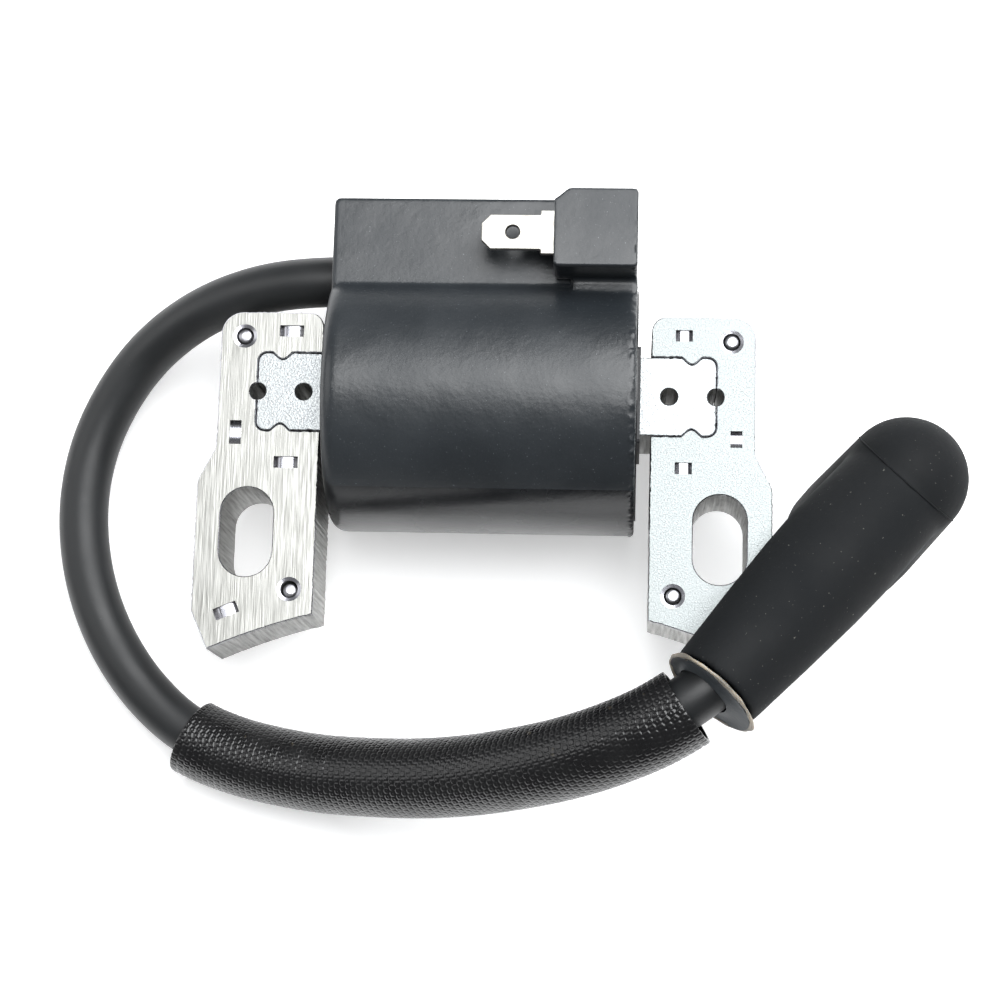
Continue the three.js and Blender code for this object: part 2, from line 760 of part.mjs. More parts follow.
function lead() {
  const along = new Stretch(leadCurve, 0, JACKET_END);
  const wire = new Stretch(leadCurve, CONDUCTOR_START, CONDUCTOR_END);
  const cover = new Stretch(leadCurve, SLEEVE_START, SLEEVE_END);
  const jacket = ring(LEAD_RADIUS, LEAD_BORE, 12);
  const sleeve = tubeAlong(
    "lead_sleeve",
    ring(SLEEVE_RADIUS, SLEEVE_BORE, 12),
    cover,
    SLEEVE_STEPS,
    BRAID,
  );
  sleeve.position.set(...SLEEVE_SAG);
  return [
    highTensionPin(),
    tubeAlong("lead_jacket", jacket, along, LEAD_STEPS, RUBBER),
    tubeAlong("lead_conductor", disc(CONDUCTOR_RADIUS, 8), wire, LEAD_STEPS, COPPER),
    sleeve,
  ];
}

// ---- boot -------------------------------------------------------------------------------

// In the boot's own frame, X runs from the elbow to the collar and the plug tube hangs down.
function place(group) {
  group.position.set(...BOOT_CENTRE);
  group.rotation.order = "ZYX";
  group.rotation.set(radians(-BOOT_ROLL), radians(-BOOT_PITCH), radians(BOOT_HEADING + 180));
  return group;
}

// A turned body on the plug tube's axis; the profile is a list of [radius, depth below centre].
function hanging(profile, sides) {
  const points = profile.map(([radius, depth]) => new THREE.Vector2(radius, -depth));
  const lean = radians(ELBOW_LEAN);
  return new THREE.LatheGeometry(points, sides).rotateX(Math.PI / 2).rotateY(-lean);
}

function dome(radius, steps) {
  const points = [];
  for (let i = 0; i < steps; i += 1) {
    const angle = (Math.PI / 2) * (i / steps);
    points.push([radius * Math.sin(angle), -radius * Math.cos(angle)]);
  }
  return points;
}

function bootShell() {
  const body = turned(
    [
      [0, 0],
      [BOOT_HEAD_RADIUS, 0],
      [BOOT_HEAD_RADIUS - 0.2, BOOT_LENGTH * 0.45],
      [BOOT_COLLAR_RADIUS, BOOT_LENGTH],
      [0, BOOT_LENGTH],
    ],
    24,
    0,
    0,
  );
  const tube = hanging(
    [
      ...dome(BOOT_HEAD_RADIUS, 6),
      [BOOT_HEAD_RADIUS, 0],
      [TUBE_RADIUS, TUBE_LENGTH - 6],
      [TUBE_RADIUS, TUBE_LENGTH],
      [0, TUBE_LENGTH],
    ].reverse(),
    24,
  );
  const leadBore = turned(
    [
      [0, 2],
      [BOOT_BORE, 2],
      [BOOT_BORE, BOOT_LENGTH - BOOT_FLARE_DEPTH],
      [BOOT_FLARE, BOOT_LENGTH + 0.5],
      [0, BOOT_LENGTH + 0.5],
    ],
    24,
    0,
    0,
  );
  const plugBore = hanging(
    [[0, TUBE_LENGTH + 1], [TUBE_BORE, TUBE_LENGTH + 1], [TUBE_BORE, -3], [0, -3]],
    24,
  );
  const shape = cut(join(solid(body), solid(tube)), solid(leadBore), solid(plugBore));
  return piece("boot_shell", shell(shape), RUBBER);
}

// A thin disc that closes the boot's mouth; the lead's bend begins here, so its hole is off centre.
function collarSeal() {
  const left = BOOT_LENGTH + GAP;
  const shape = disc(SEAL_RADIUS, 32);
  shape.holes.push(disc(SEAL_HOLE.radius, 24, SEAL_HOLE.y, SEAL_HOLE.z));
  return piece("collar_seal", beam(shape, left, left + SEAL_THICKNESS), SILICONE);
}

function crimpFerrule() {
  const { inner, outer, start, end } = FERRULE;
  const profile = [[inner, start], [outer, start], [outer, end], [inner, end], [inner, start]];
  return piece("crimp_ferrule", turned(profile, 12, 0, 0), BRASS);
}

function plugClip() {
  const { outer, inner, start, flange, base, end } = CLIP;
  const profile = [
    [0, base],
    [inner, base],
    [inner, end],
    [outer, end],
    [outer, flange],
    [TUBE_BORE - GAP, flange],
    [TUBE_BORE - GAP, start],
    [0, start],
  ];
  return piece("plug_clip", hanging(profile, 16), BRASS);
}

const coil = new THREE.Group();
coil.add(
  coreBar(),
  leg("left_leg", -1),
  leg("right_leg", 1),
  ...rivets(),
  housing(),
  potting(),
  primaryBobbin(),
  primaryWinding(),
  secondaryBobbin(),
  secondaryWinding(0),
  secondaryWinding(1),
  secondaryWinding(2),
  ...ignitionModule(),
  groundStrap(),
  stopTerminal(),
  ...lead(),
);
const leadEnd = place(new THREE.Group());
leadEnd.add(crimpFerrule(), collarSeal());
const boot = place(new THREE.Group());
boot.add(bootShell(), plugClip());
const part = new THREE.Group();
part.add(coil, leadEnd, boot);

export default part;
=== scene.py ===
# %% Load the coil's frame
import json
import math
import random

import bmesh
import bpy
import numpy as np
from mathutils import Matrix, Vector
from mathutils import noise as lumps
from mathutils.bvhtree import BVHTree
from mathutils.geometry import tessellate_polygon

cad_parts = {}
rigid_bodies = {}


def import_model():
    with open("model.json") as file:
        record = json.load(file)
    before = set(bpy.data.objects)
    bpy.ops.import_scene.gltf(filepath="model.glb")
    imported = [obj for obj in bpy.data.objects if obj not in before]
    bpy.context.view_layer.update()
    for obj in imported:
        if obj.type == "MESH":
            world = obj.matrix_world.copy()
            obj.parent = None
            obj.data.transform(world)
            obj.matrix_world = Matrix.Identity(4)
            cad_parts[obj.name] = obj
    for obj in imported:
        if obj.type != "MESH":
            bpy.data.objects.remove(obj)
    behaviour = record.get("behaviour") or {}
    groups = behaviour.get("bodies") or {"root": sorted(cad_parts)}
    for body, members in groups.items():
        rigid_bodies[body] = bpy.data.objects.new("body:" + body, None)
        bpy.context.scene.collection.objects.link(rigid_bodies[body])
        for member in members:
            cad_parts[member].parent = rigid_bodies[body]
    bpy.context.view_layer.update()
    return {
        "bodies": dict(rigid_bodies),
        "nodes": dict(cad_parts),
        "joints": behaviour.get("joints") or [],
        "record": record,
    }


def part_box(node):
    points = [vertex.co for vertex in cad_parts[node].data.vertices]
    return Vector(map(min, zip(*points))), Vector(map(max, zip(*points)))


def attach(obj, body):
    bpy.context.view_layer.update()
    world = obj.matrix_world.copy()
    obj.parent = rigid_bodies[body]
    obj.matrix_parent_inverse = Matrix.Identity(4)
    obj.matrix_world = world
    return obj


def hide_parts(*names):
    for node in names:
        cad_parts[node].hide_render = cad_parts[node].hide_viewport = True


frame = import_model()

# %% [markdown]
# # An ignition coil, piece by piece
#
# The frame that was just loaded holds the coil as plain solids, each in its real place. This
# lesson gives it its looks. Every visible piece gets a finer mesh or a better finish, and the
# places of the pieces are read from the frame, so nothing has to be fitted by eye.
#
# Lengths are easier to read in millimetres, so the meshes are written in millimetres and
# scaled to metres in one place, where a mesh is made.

MM = 0.001


def box_mm(node):
    """The lowest and highest corner of a frame node, in millimetres."""
    low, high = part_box(node)
    return low / MM, high / MM


bar_low, bar_high = box_mm("core_bar")
case_low, case_high = box_mm("housing")
leg_low, leg_high = box_mm("right_leg")
AXIS_Y = (bar_low.y + bar_high.y) / 2
AXIS_Z = (bar_low.z + bar_high.z) / 2
BARREL_RADIUS = AXIS_Y - case_low.y
print("barrel radius", round(BARREL_RADIUS, 2), "axis at", round(AXIS_Y, 2), round(AXIS_Z, 2))

# %% [markdown]
# ## The camera
#
# The coil is seen from almost straight above, from the side of the pole faces and a little to
# the right. A long lens keeps the two legs nearly the same size. The camera could be aimed with
# a constraint, but three plain angles say exactly how it leans.

# %% The camera
CAMERA_PLACE = Vector((20.23, AXIS_Y - 70.18, leg_high.z + 302.56)) * MM
CAMERA_LEAN = (-10.3986, -3.2997, -0.9563)
CAMERA_LENS = 82.63

camera_data = bpy.data.cameras.new("camera")
camera_data.lens = CAMERA_LENS
camera_data.sensor_width = 36
camera = bpy.data.objects.new("camera", camera_data)
bpy.context.collection.objects.link(camera)
lean_x, lean_y, lean_z = (math.radians(a) for a in CAMERA_LEAN)
to_camera = (
    Matrix.Rotation(lean_z, 3, "Z")
    @ Matrix.Rotation(lean_y, 3, "Y")
    @ Matrix.Rotation(lean_x, 3, "X")
)
camera.matrix_world = Matrix.Translation(CAMERA_PLACE) @ to_camera.transposed().to_4x4()
bpy.context.scene.camera = camera
bpy.context.scene.view_settings.view_transform = "Standard"
print("camera at", [round(c, 3) for c in CAMERA_PLACE])

# %% [markdown]
# ## Finishes
#
# A finish is one shader with a few procedural layers over it: a slow noise that varies the
# roughness, a fine noise that gives the grain, and sometimes stretched noise for brushed lines.
# The grain goes to the bump socket only, so it catches light without painting light.
# Object coordinates are used throughout, because they are in metres and every piece sits at
# the origin, so one scale value means the same size of grain on every piece.


# %% A start for every finish
def new_finish(name, color, roughness, metallic=0.0):
    """A material with a principled shader; returns the material and the shader."""
    material = bpy.data.materials.new(name)
    material.use_nodes = True
    shader = material.node_tree.nodes["Principled BSDF"]
    shader.inputs["Base Color"].default_value = (*color, 1)
    shader.inputs["Roughness"].default_value = roughness
    shader.inputs["Metallic"].default_value = metallic
    return material, shader


def add_node(material, kind, **settings):
    node = material.node_tree.nodes.new(kind)
    for key, value in settings.items():
        if key in node.inputs:
            node.inputs[key].default_value = value
        else:
            setattr(node, key, value)
    return node


def link(material, source, target):
    material.node_tree.links.new(source, target)


def noise(material, scale, detail=3.0, stretch=(1, 1, 1), turn=0.0):
    """Noise in object space; scale is in lumps per metre, and stretch multiplies it per axis."""
    place = add_node(material, "ShaderNodeTexCoord")
    mapping = add_node(material, "ShaderNodeMapping")
    mapping.inputs["Scale"].default_value = stretch
    mapping.inputs["Rotation"].default_value = (0, 0, turn)
    texture = add_node(material, "ShaderNodeTexNoise", Scale=scale, Detail=detail)
    link(material, place.outputs["Object"], mapping.inputs["Vector"])
    link(material, mapping.outputs["Vector"], texture.inputs["Vector"])
    return texture.outputs["Fac"]


def ramp(material, source, low, high, start=0.35, end=0.65):
    """Maps a 0 to 1 value to the range low to high, with the change between start and end."""
    node = add_node(material, "ShaderNodeMapRange")
    node.inputs["From Min"].default_value = start
    node.inputs["From Max"].default_value = end
    node.inputs["To Min"].default_value = low
    node.inputs["To Max"].default_value = high
    link(material, source, node.inputs["Value"])
    return node.outputs["Result"]


def tint(material, source, first, second):
    """Mixes two colours by a 0 to 1 value."""
    node = add_node(material, "ShaderNodeMix", data_type="RGBA")
    node.inputs[6].default_value = (*first, 1)
    node.inputs[7].default_value = (*second, 1)
    link(material, source, node.inputs["Factor"])
    return node.outputs[2]


def bump(material, shader, *layers):
    """Stacks bump layers on the shader; a layer is (value, height in mm)."""
    previous = None
    for value, height in layers:
        node = add_node(material, "ShaderNodeBump")
        node.inputs["Strength"].default_value = 1
        node.inputs["Distance"].default_value = height * MM
        link(material, value, node.inputs["Height"])
        if previous:
            link(material, previous, node.inputs["Normal"])
        previous = node.outputs["Normal"]
    link(material, previous, shader.inputs["Normal"])


# %% [markdown]
# ### Black plastics and rubbers
#
# The black pieces differ only in how they shine. The moulded housing has a fine matt grain with
# pale specks, the lead is smooth and waxy, and the boot is dull with a little dust on it.
# Dust is a sharp threshold of a fine noise, mixed over the base colour.


# %% Black finishes
def black_finish(name, color, dust, roughness, grain, specks, speck_size, waves=0.0):
    """A black polymer: grain is its bump in mm, and specks is the share of pale dust."""
    material, shader = new_finish(name, color, roughness[0])
    fine = noise(material, 1000 / speck_size, 2)
    broad = noise(material, 90, 4)
    dusty = ramp(material, fine, 0, 1, 0.74 - specks, 0.78 - specks * 0.6)
    cloudy = ramp(material, broad, 0, 0.35, 0.4, 0.75)
    base = tint(material, cloudy, color, [c * 1.9 for c in color])
    mixed = add_node(material, "ShaderNodeMix", data_type="RGBA")
    link(material, base, mixed.inputs[6])
    mixed.inputs[7].default_value = (*dust, 1)
    link(material, dusty, mixed.inputs["Factor"])
    link(material, mixed.outputs[2], shader.inputs["Base Color"])
    link(material, ramp(material, broad, *roughness), shader.inputs["Roughness"])
    layers = [(noise(material, 1600, 3), grain)]
    if waves:
        layers.append((noise(material, 160, 2), waves))
    bump(material, shader, *layers)
    return material


housing_plastic = black_finish(
    "housing_plastic", (0.006, 0.007, 0.0085), (0.07, 0.08, 0.085), (0.22, 0.3), 0.014, 0.02, 0.25, 0.06
)
block_plastic = black_finish(
    "block_plastic", (0.014, 0.017, 0.02), (0.1, 0.11, 0.12), (0.3, 0.42), 0.03, 0.04, 0.22, 0.15
)
lead_rubber = black_finish(
    "lead_rubber", (0.009, 0.01, 0.011), (0.03, 0.03, 0.03), (0.42, 0.55), 0.01, 0.0, 0.6, 0.06
)
boot_rubber = black_finish(
    "boot_rubber", (0.005, 0.006, 0.007), (0.1, 0.1, 0.09), (0.7, 0.85), 0.03, 0.022, 0.4, 0.1
)
boot_rubber.node_tree.nodes["Principled BSDF"].inputs["Specular IOR Level"].default_value = 0.22
potting_resin = black_finish(
    "potting_resin", (0.012, 0.013, 0.014), (0.06, 0.06, 0.06), (0.25, 0.5), 0.05, 0.03, 0.5, 0.3
)
bobbin_plastic = black_finish(
    "bobbin_plastic", (0.02, 0.021, 0.023), (0.06, 0.06, 0.06), (0.45, 0.6), 0.02, 0.03, 0.5
)
package_plastic = black_finish(
    "package_plastic", (0.015, 0.015, 0.016), (0.05, 0.05, 0.05), (0.4, 0.55), 0.03, 0.03, 0.3
)
print("black finishes made")

# %% [markdown]
# ### Metals
#
# The laminations were ground in one direction, so their faces carry fine lines along Y.
# Stretching a noise 25 times along Y turns its lumps into such lines. The core bar and the
# right leg show the plated side of the sheet instead, with a fine speckle and no lines. The
# right leg's steel is also a darker colour than the left leg's: painted shade that tones down
# the main lamp's highlight on it. The terminal is bright tin plate.


# %% Metal finishes
def metal_finish(name, color, shade, roughness, stretch=(1, 1, 1), size=8, cloud=4, grain=0.006):
    """A metal; stretch turns its grain into lines, and size and cloud are in mm."""
    material, shader = new_finish(name, color, roughness[0], 1.0)
    patches = ramp(material, noise(material, 1000 / cloud, 5), 0, 1, 0.38, 0.66)
    lines = ramp(material, noise(material, 1000 / size, 2, stretch), 0, 1, 0.3, 0.7)
    lined = tint(material, lines, shade, color)
    mixed = add_node(material, "ShaderNodeMix", data_type="RGBA")
    mixed.inputs[7].default_value = (*[c * 0.9 for c in color], 1)
    link(material, lined, mixed.inputs[6])
    link(material, ramp(material, patches, 0.0, 0.55, 0, 1), mixed.inputs["Factor"])
    link(material, mixed.outputs[2], shader.inputs["Base Color"])
    link(material, ramp(material, lines, roughness[1], roughness[0], 0, 1),
         shader.inputs["Roughness"])
    bump(material, shader, (noise(material, 3000, 2), grain), (lines, grain * 1.5))
    return material


laminated_steel = metal_finish(
    "laminated_steel", (0.31, 0.31, 0.295), (0.19, 0.19, 0.178), (0.3, 0.42), (1, 0.04, 0.3), 0.18, 9
)
cut_steel = metal_finish(
    "cut_steel", (0.47, 0.47, 0.46), (0.25, 0.25, 0.24), (0.4, 0.55), (1, 1, 0.04), 0.35, 3
)
pressed_steel = metal_finish(
    "pressed_steel", (0.42, 0.42, 0.45), (0.3, 0.3, 0.33), (0.2, 0.3), (1, 1, 1), 1.5, 2
)
zinc_steel = metal_finish(
    "zinc_steel", (0.33, 0.345, 0.345), (0.24, 0.25, 0.26), (0.34, 0.46), (1, 1, 1), 0.25, 3, 0.012
)
# Painted shade: the right leg's steel is coloured darker than the left leg's, to tone down the main lamp's
# highlight on it.
plated_steel_painted_shade = metal_finish(
    "plated_steel_painted_shade", (0.225, 0.24, 0.24), (0.175, 0.19, 0.19), (0.34, 0.46), (1, 1, 1), 0.2, 6, 0.01
)
rivet_steel = metal_finish("rivet_steel", (0.4, 0.4, 0.42), (0.24, 0.24, 0.26), (0.25, 0.4), size=0.8)
tinned_brass = metal_finish("tinned_brass", (0.36, 0.35, 0.325), (0.27, 0.26, 0.24), (0.25, 0.38), size=2)
brass = metal_finish("brass", (0.7, 0.5, 0.22), (0.5, 0.34, 0.14), (0.25, 0.4), size=2)
copper_wire = metal_finish(
    "copper_wire", (0.55, 0.2, 0.08), (0.25, 0.08, 0.03), (0.3, 0.45), (1, 0.02, 0.02), 0.35
)
print("metal finishes made")

# %% [markdown]
# ### The last few finishes
#
# The sleeve is a coated weave, so its base is a deep black with a clear coat. The seal in the
# boot's mouth is a pale silicone that lets some light through. The module's board is a green
# laminate, and its small parts are glazed ceramic.

# %% Weave, silicone, board and ceramic
sleeve_braid, braid_shader = new_finish("sleeve_braid", (0.004, 0.004, 0.0045), 0.3)
braid_shader.inputs["Specular IOR Level"].default_value = 0.2
braid_shader.inputs["Coat Weight"].default_value = 0.6
braid_shader.inputs["Coat Roughness"].default_value = 0.06
speck = ramp(sleeve_braid, noise(sleeve_braid, 420, 4), 0, 1, 0.7, 0.74)
link(sleeve_braid, tint(sleeve_braid, speck, (0.004, 0.004, 0.0045), (0.05, 0.043, 0.03)),
     braid_shader.inputs["Base Color"])
link(sleeve_braid, ramp(sleeve_braid, noise(sleeve_braid, 300), 0.22, 0.42),
     braid_shader.inputs["Roughness"])
bump(sleeve_braid, braid_shader, (noise(sleeve_braid, 2500, 2), 0.02))

seal_silicone, seal_shader = new_finish("seal_silicone", (0.3, 0.27, 0.22), 0.5)
seal_shader.inputs["Subsurface Weight"].default_value = 0.5
seal_shader.inputs["Subsurface Radius"].default_value = (0.002, 0.0015, 0.001)
seal_shader.inputs["Subsurface Scale"].default_value = 0.5
link(seal_silicone, tint(seal_silicone, ramp(seal_silicone, noise(seal_silicone, 260, 4), 0, 1),
                         (0.13, 0.12, 0.1), (0.36, 0.32, 0.26)),
     seal_shader.inputs["Base Color"])
bump(seal_silicone, seal_shader, (noise(seal_silicone, 900, 3), 0.06))

seal_face = black_finish(
    "seal_face", (0.045, 0.052, 0.058), (0.12, 0.12, 0.12), (0.5, 0.7), 0.04, 0.03, 0.5, 0.2
)
board_laminate = black_finish(
    "board_laminate", (0.02, 0.09, 0.035), (0.05, 0.16, 0.07), (0.4, 0.55), 0.02, 0.05, 0.8
)
ceramic = black_finish(
    "ceramic", (0.5, 0.38, 0.22), (0.6, 0.5, 0.33), (0.3, 0.45), 0.02, 0.05, 0.8
)
print("finishes made:", len(bpy.data.materials))

# %% [markdown]
# ## Making and placing a piece
#
# Most pieces are written as points and faces, because each follows a simple rule: a turned
# profile, a stack of outlines, or a tube along a curve. One function turns such lists into a
# piece, and another says which body it rides on and which frame nodes it stands for.


# %% Points and faces to a piece
def make_piece(name, points, faces, finish, sharp=40):
    mesh = bpy.data.meshes.new(name)
    mesh.from_pydata([tuple(c * MM for c in p) for p in points], [], faces)
    mesh.materials.append(finish)
    editable = bmesh.new()
    editable.from_mesh(mesh)
    bmesh.ops.remove_doubles(editable, verts=editable.verts, dist=1e-7)
    bmesh.ops.recalc_face_normals(editable, faces=editable.faces)
    editable.to_mesh(mesh)
    editable.free()
    smooth_shading(mesh, sharp)
    piece = bpy.data.objects.new(name, mesh)
    bpy.context.collection.objects.link(piece)
    return piece


def finish_where(piece, finish, rule):
    """Gives another finish to the faces whose centre (in mm) and normal follow a rule."""
    piece.data.materials.append(finish)
    index = len(piece.data.materials) - 1
    for face in piece.data.polygons:
        if rule(face.center / MM, face.normal):
            face.material_index = index


def smooth_shading(mesh, sharp):
    for face in mesh.polygons:
        face.use_smooth = True
    mesh.set_sharp_from_angle(angle=math.radians(sharp))


def seat(piece, body, slot, *nodes):
    """Puts a finished piece on its body, in place of the frame nodes that it stands for."""
    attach(piece, body)
    if nodes:
        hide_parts(*nodes)
    faces = len(piece.data.polygons) if piece.type == "MESH" else "a curve"
    print(piece.name, "stands for", ", ".join(nodes) or "nothing", "-", faces)


# %% [markdown]
# ## The high-tension lead
#
# The lead is 7 mm rubber over a stranded conductor. It leaves the housing beside the barrel,
# falls to the table in one open loop, and climbs over the right leg into the boot. A curve
# with a round bevel is the natural way to make it, because its centreline stays available.
# The route is the same list of points as the solid one follows, in metres.

# %% The lead's route
LEAD_ROUTE = [
    (-0.009, 0.0219, 0.0178),
    (-0.0165, 0.0219, 0.0178),
    (-0.0241, 0.0219, 0.0175),
    (-0.0316, 0.0213, 0.0162),
    (-0.0386, 0.0197, 0.0137),
    (-0.045, 0.0169, 0.0106),
    (-0.0505, 0.0128, 0.0076),
    (-0.0548, 0.0072, 0.0055),
    (-0.0577, 0.0006, 0.0043),
    (-0.0589, -0.0067, 0.0038),
    (-0.0584, -0.0142, 0.0038),
    (-0.0564, -0.0216, 0.004),
    (-0.0529, -0.0286, 0.0045),
    (-0.0481, -0.0348, 0.0051),
    (-0.0421, -0.0398, 0.0059),
    (-0.0357, -0.0426, 0.0068),
    (-0.0289, -0.0443, 0.0082),
    (-0.0219, -0.0454, 0.0103),
    (-0.0149, -0.0459, 0.0132),
    (-0.008, -0.0461, 0.0167),
    (-0.0012, -0.0458, 0.0204),
    (0.0054, -0.045, 0.0243),
    (0.0118, -0.0438, 0.0279),
    (0.0179, -0.042, 0.031),
    (0.0238, -0.0395, 0.0332),
    (0.0294, -0.0359, 0.0343),
    (0.03485, -0.03105, 0.03368),
    (0.0406, -0.02437, 0.03179),
    (0.0457, -0.01849, 0.03014),
    (0.0502, -0.01329, 0.02867),
]
LEAD_DIAMETER = 0.007
SLEEVE_SPAN = (0.493, 0.845)


def smooth_line(points, per_span=10):
    """A centripetal curve through the points, sampled finely."""
    given = [Vector(p) for p in points]
    ends = [2 * given[0] - given[1], *given, 2 * given[-1] - given[-2]]
    line = []
    for a, b, c, d in zip(ends, ends[1:], ends[2:], ends[3:]):
        ab, bc, cd = ((q - p).length ** 0.5 for p, q in ((a, b), (b, c), (c, d)))
        out = (c - b) + bc * ((b - a) / ab - (c - a) / (ab + bc))
        into = (c - b) + bc * ((d - c) / cd - (d - b) / (bc + cd))
        for k in range(per_span):
            t = k / per_span
            line.append(
                b * (2 * t**3 - 3 * t**2 + 1)
                + out * (t**3 - 2 * t**2 + t)
                + c * (3 * t**2 - 2 * t**3)
                + into * (t**3 - t**2)
            )
    line.append(given[-1])
    return line


def travelled(line):
    """How far along the line each of its points is."""
    steps = [0.0]
    for a, b in zip(line, line[1:]):
        steps.append(steps[-1] + (b - a).length)
    return np.array(steps)


def point_at(line, distance):
    """The points at the given distances along the line."""
    steps = travelled(line)
    columns = np.array([tuple(p) for p in line]).T
    return np.array([np.interp(distance, steps, column) for column in columns]).T


lead_line = smooth_line(LEAD_ROUTE)
lead_length = travelled(lead_line)[-1]
print("the lead is", round(lead_length * 1000, 1), "mm long")

# %% The lead itself
JACKET_SHARE = 0.985
spots = point_at(lead_line, np.linspace(0, lead_length * JACKET_SHARE, 240))
lead_data = bpy.data.curves.new("lead", "CURVE")
lead_data.dimensions = "3D"
lead_data.bevel_depth = LEAD_DIAMETER / 2
lead_data.bevel_resolution = 10
lead_data.use_fill_caps = True
spline = lead_data.splines.new("POLY")
spline.points.add(len(spots) - 1)
for point, place in zip(spline.points, spots):
    point.co = (*place, 1)
spline.use_smooth = True
lead = bpy.data.objects.new("lead", lead_data)
bpy.context.collection.objects.link(lead)
lead.data.materials.append(lead_rubber)
seat(lead, "coil", "lead_rubber", "lead_jacket", "lead_conductor")

# %% [markdown]
# ## The woven sleeve
#
# A loose sleeve protects the lead where it could rub. It is a tube woven from thick coated
# yarn, and each crossing stands up as a small round knot that sparkles. The knots are real
# bumps in the mesh, laid like bricks, and a pit in each makes its glint a little ring. The
# sleeve is loose, so it hangs a little below the lead that it covers.


# %% A tube along a line
def frames_along(spots):
    """A steady pair of side vectors at each point of a line, carried along without twist."""
    spots = [Vector(p) for p in spots]
    ahead = [(b - a).normalized() for a, b in zip(spots, spots[1:])]
    ahead.append(ahead[-1])
    side = Vector((0, 0, 1)) - ahead[0] * ahead[0].z
    side.normalize()
    frames = []
    for heading in ahead:
        side = (side - heading * side.dot(heading)).normalized()
        frames.append((side.copy(), heading.cross(side)))
    return frames


SLEEVE_RADIUS = 5.31
SLEEVE_BORE = 4.85
SLEEVE_SAG = Vector((0, -0.6, -0.3))
KNOTS_AROUND = 38
KNOT_PITCH = 0.9
KNOT_HEIGHT = 0.11
STEPS_PER_KNOT = 8
PIT = 0.8


def knot_height(along, around):
    """How high the weave stands: a rounded knot with a small pit in its middle."""
    row = math.floor(along)
    across = around + 0.5 * (row % 2)
    u, v = along - row - 0.5, across - math.floor(across) - 0.5
    reach = math.hypot(u, v) / 0.5
    dome = max(0.0, 1 - reach**2) ** 0.5
    pit = PIT * math.exp(-((reach / 0.35) ** 2))
    return KNOT_HEIGHT * (dome - pit)


def ring_of(spot, frame, radius, count):
    side, other = frame
    ring = []
    for k in range(count):
        angle = 2 * math.pi * k / count
        here = radius(k) if callable(radius) else radius
        ring.append(Vector(spot) + (side * math.cos(angle) + other * math.sin(angle)) * here)
    return ring


def sleeve_mesh():
    start, end = (share * lead_length / MM for share in SLEEVE_SPAN)
    rows = int((end - start) / KNOT_PITCH)
    spots = point_at(lead_line, np.linspace(start, end, rows * STEPS_PER_KNOT + 1) * MM) / MM
    frames = frames_along(spots)
    spots = spots + np.array(SLEEVE_SAG)
    around = KNOTS_AROUND * STEPS_PER_KNOT
    rings = []
    for i, spot in enumerate(spots):
        along = i / STEPS_PER_KNOT
        rings.append(ring_of(spot, frames[i], lambda k: SLEEVE_RADIUS + knot_height(
            along, k / STEPS_PER_KNOT), around))
    for i in range(len(spots) - 1, -1, -STEPS_PER_KNOT):
        rings.append(ring_of(spots[i], frames[i], SLEEVE_BORE, around))
    points = [p for ring in rings for p in ring]
    faces = []
    for i in range(len(rings)):
        a, b = i * around, (i + 1) % len(rings) * around
        for k in range(around):
            n = (k + 1) % around
            faces.append((a + k, a + n, b + n, b + k))
    return points, faces


sleeve = make_piece("lead_sleeve_weave", *sleeve_mesh(), sleeve_braid, 80)
seat(sleeve, "coil", "sleeve_braid", "lead_sleeve")

# %% [markdown]
# ## The laminated legs
#
# Each leg is a stack of thin steel sheets. The stack is built as rings of one outline, one
# ring at each sheet's edge and one in each joint between sheets, where the outline is a hair
# smaller. So every joint is a real groove, on the outside and inside every hole.
# An outline is a list of corners with a radius each, and holes are outlines that run the
# other way round.


# %% Outlines with round corners
def rounded(corners, steps=8):
    """An outline from corners (x, y, radius)."""
    outline = []
    for i, (x, y, radius) in enumerate(corners):
        here = Vector((x, y))
        if not radius:
            outline.append(here)
            continue
        before = (Vector(corners[i - 1][:2]) - here).normalized()
        after = (Vector(corners[(i + 1) % len(corners)][:2]) - here).normalized()
        half = before.angle(after) / 2
        centre = here + (before + after).normalized() * radius / math.sin(half)
        first = here + before * radius / math.tan(half) - centre
        turn = first.angle_signed(here + after * radius / math.tan(half) - centre)
        for k in range(steps + 1):
            outline.append(centre + Matrix.Rotation(-turn * k / steps, 2) @ first)
    return outline


def circle(x, y, radius, steps=32):
    angles = [2 * math.pi * k / steps for k in range(steps)]
    return [Vector((x + radius * math.cos(a), y + radius * math.sin(a))) for a in angles]


def turned_round(outline, counterclockwise):
    area = sum(a.x * b.y - b.x * a.y for a, b in zip(outline, outline[1:] + outline[:1]))
    return outline if (area > 0) == counterclockwise else outline[::-1]


def shrunk(outline, amount):
    """The outline moved by an amount towards the metal's side."""
    moved = []
    for i, here in enumerate(outline):
        way = (outline[(i + 1) % len(outline)] - outline[i - 1]).normalized()
        moved.append(here + Vector((-way.y, way.x)) * amount)
    return moved


# %% A stack of sheets
SHEET = 0.53
GROOVE = 0.045
GROOVE_WIDTH = 0.09
EDGE = 0.12


def sheet_levels(bottom, top, sheet, edge):
    """Heights and insets of the rings: each sheet has two edges with a groove after it."""
    count = max(1, round((top - bottom) / sheet))
    pitch = (top - bottom) / count
    levels = [(bottom, edge)]
    for i in range(count):
        low, high = bottom + pitch * i, bottom + pitch * (i + 1)
        levels.append((low + (EDGE if i == 0 else GROOVE_WIDTH), 0))
        levels.append((high - (EDGE if i == count - 1 else GROOVE_WIDTH), 0))
        levels.append((high, edge if i == count - 1 else GROOVE))
    return levels


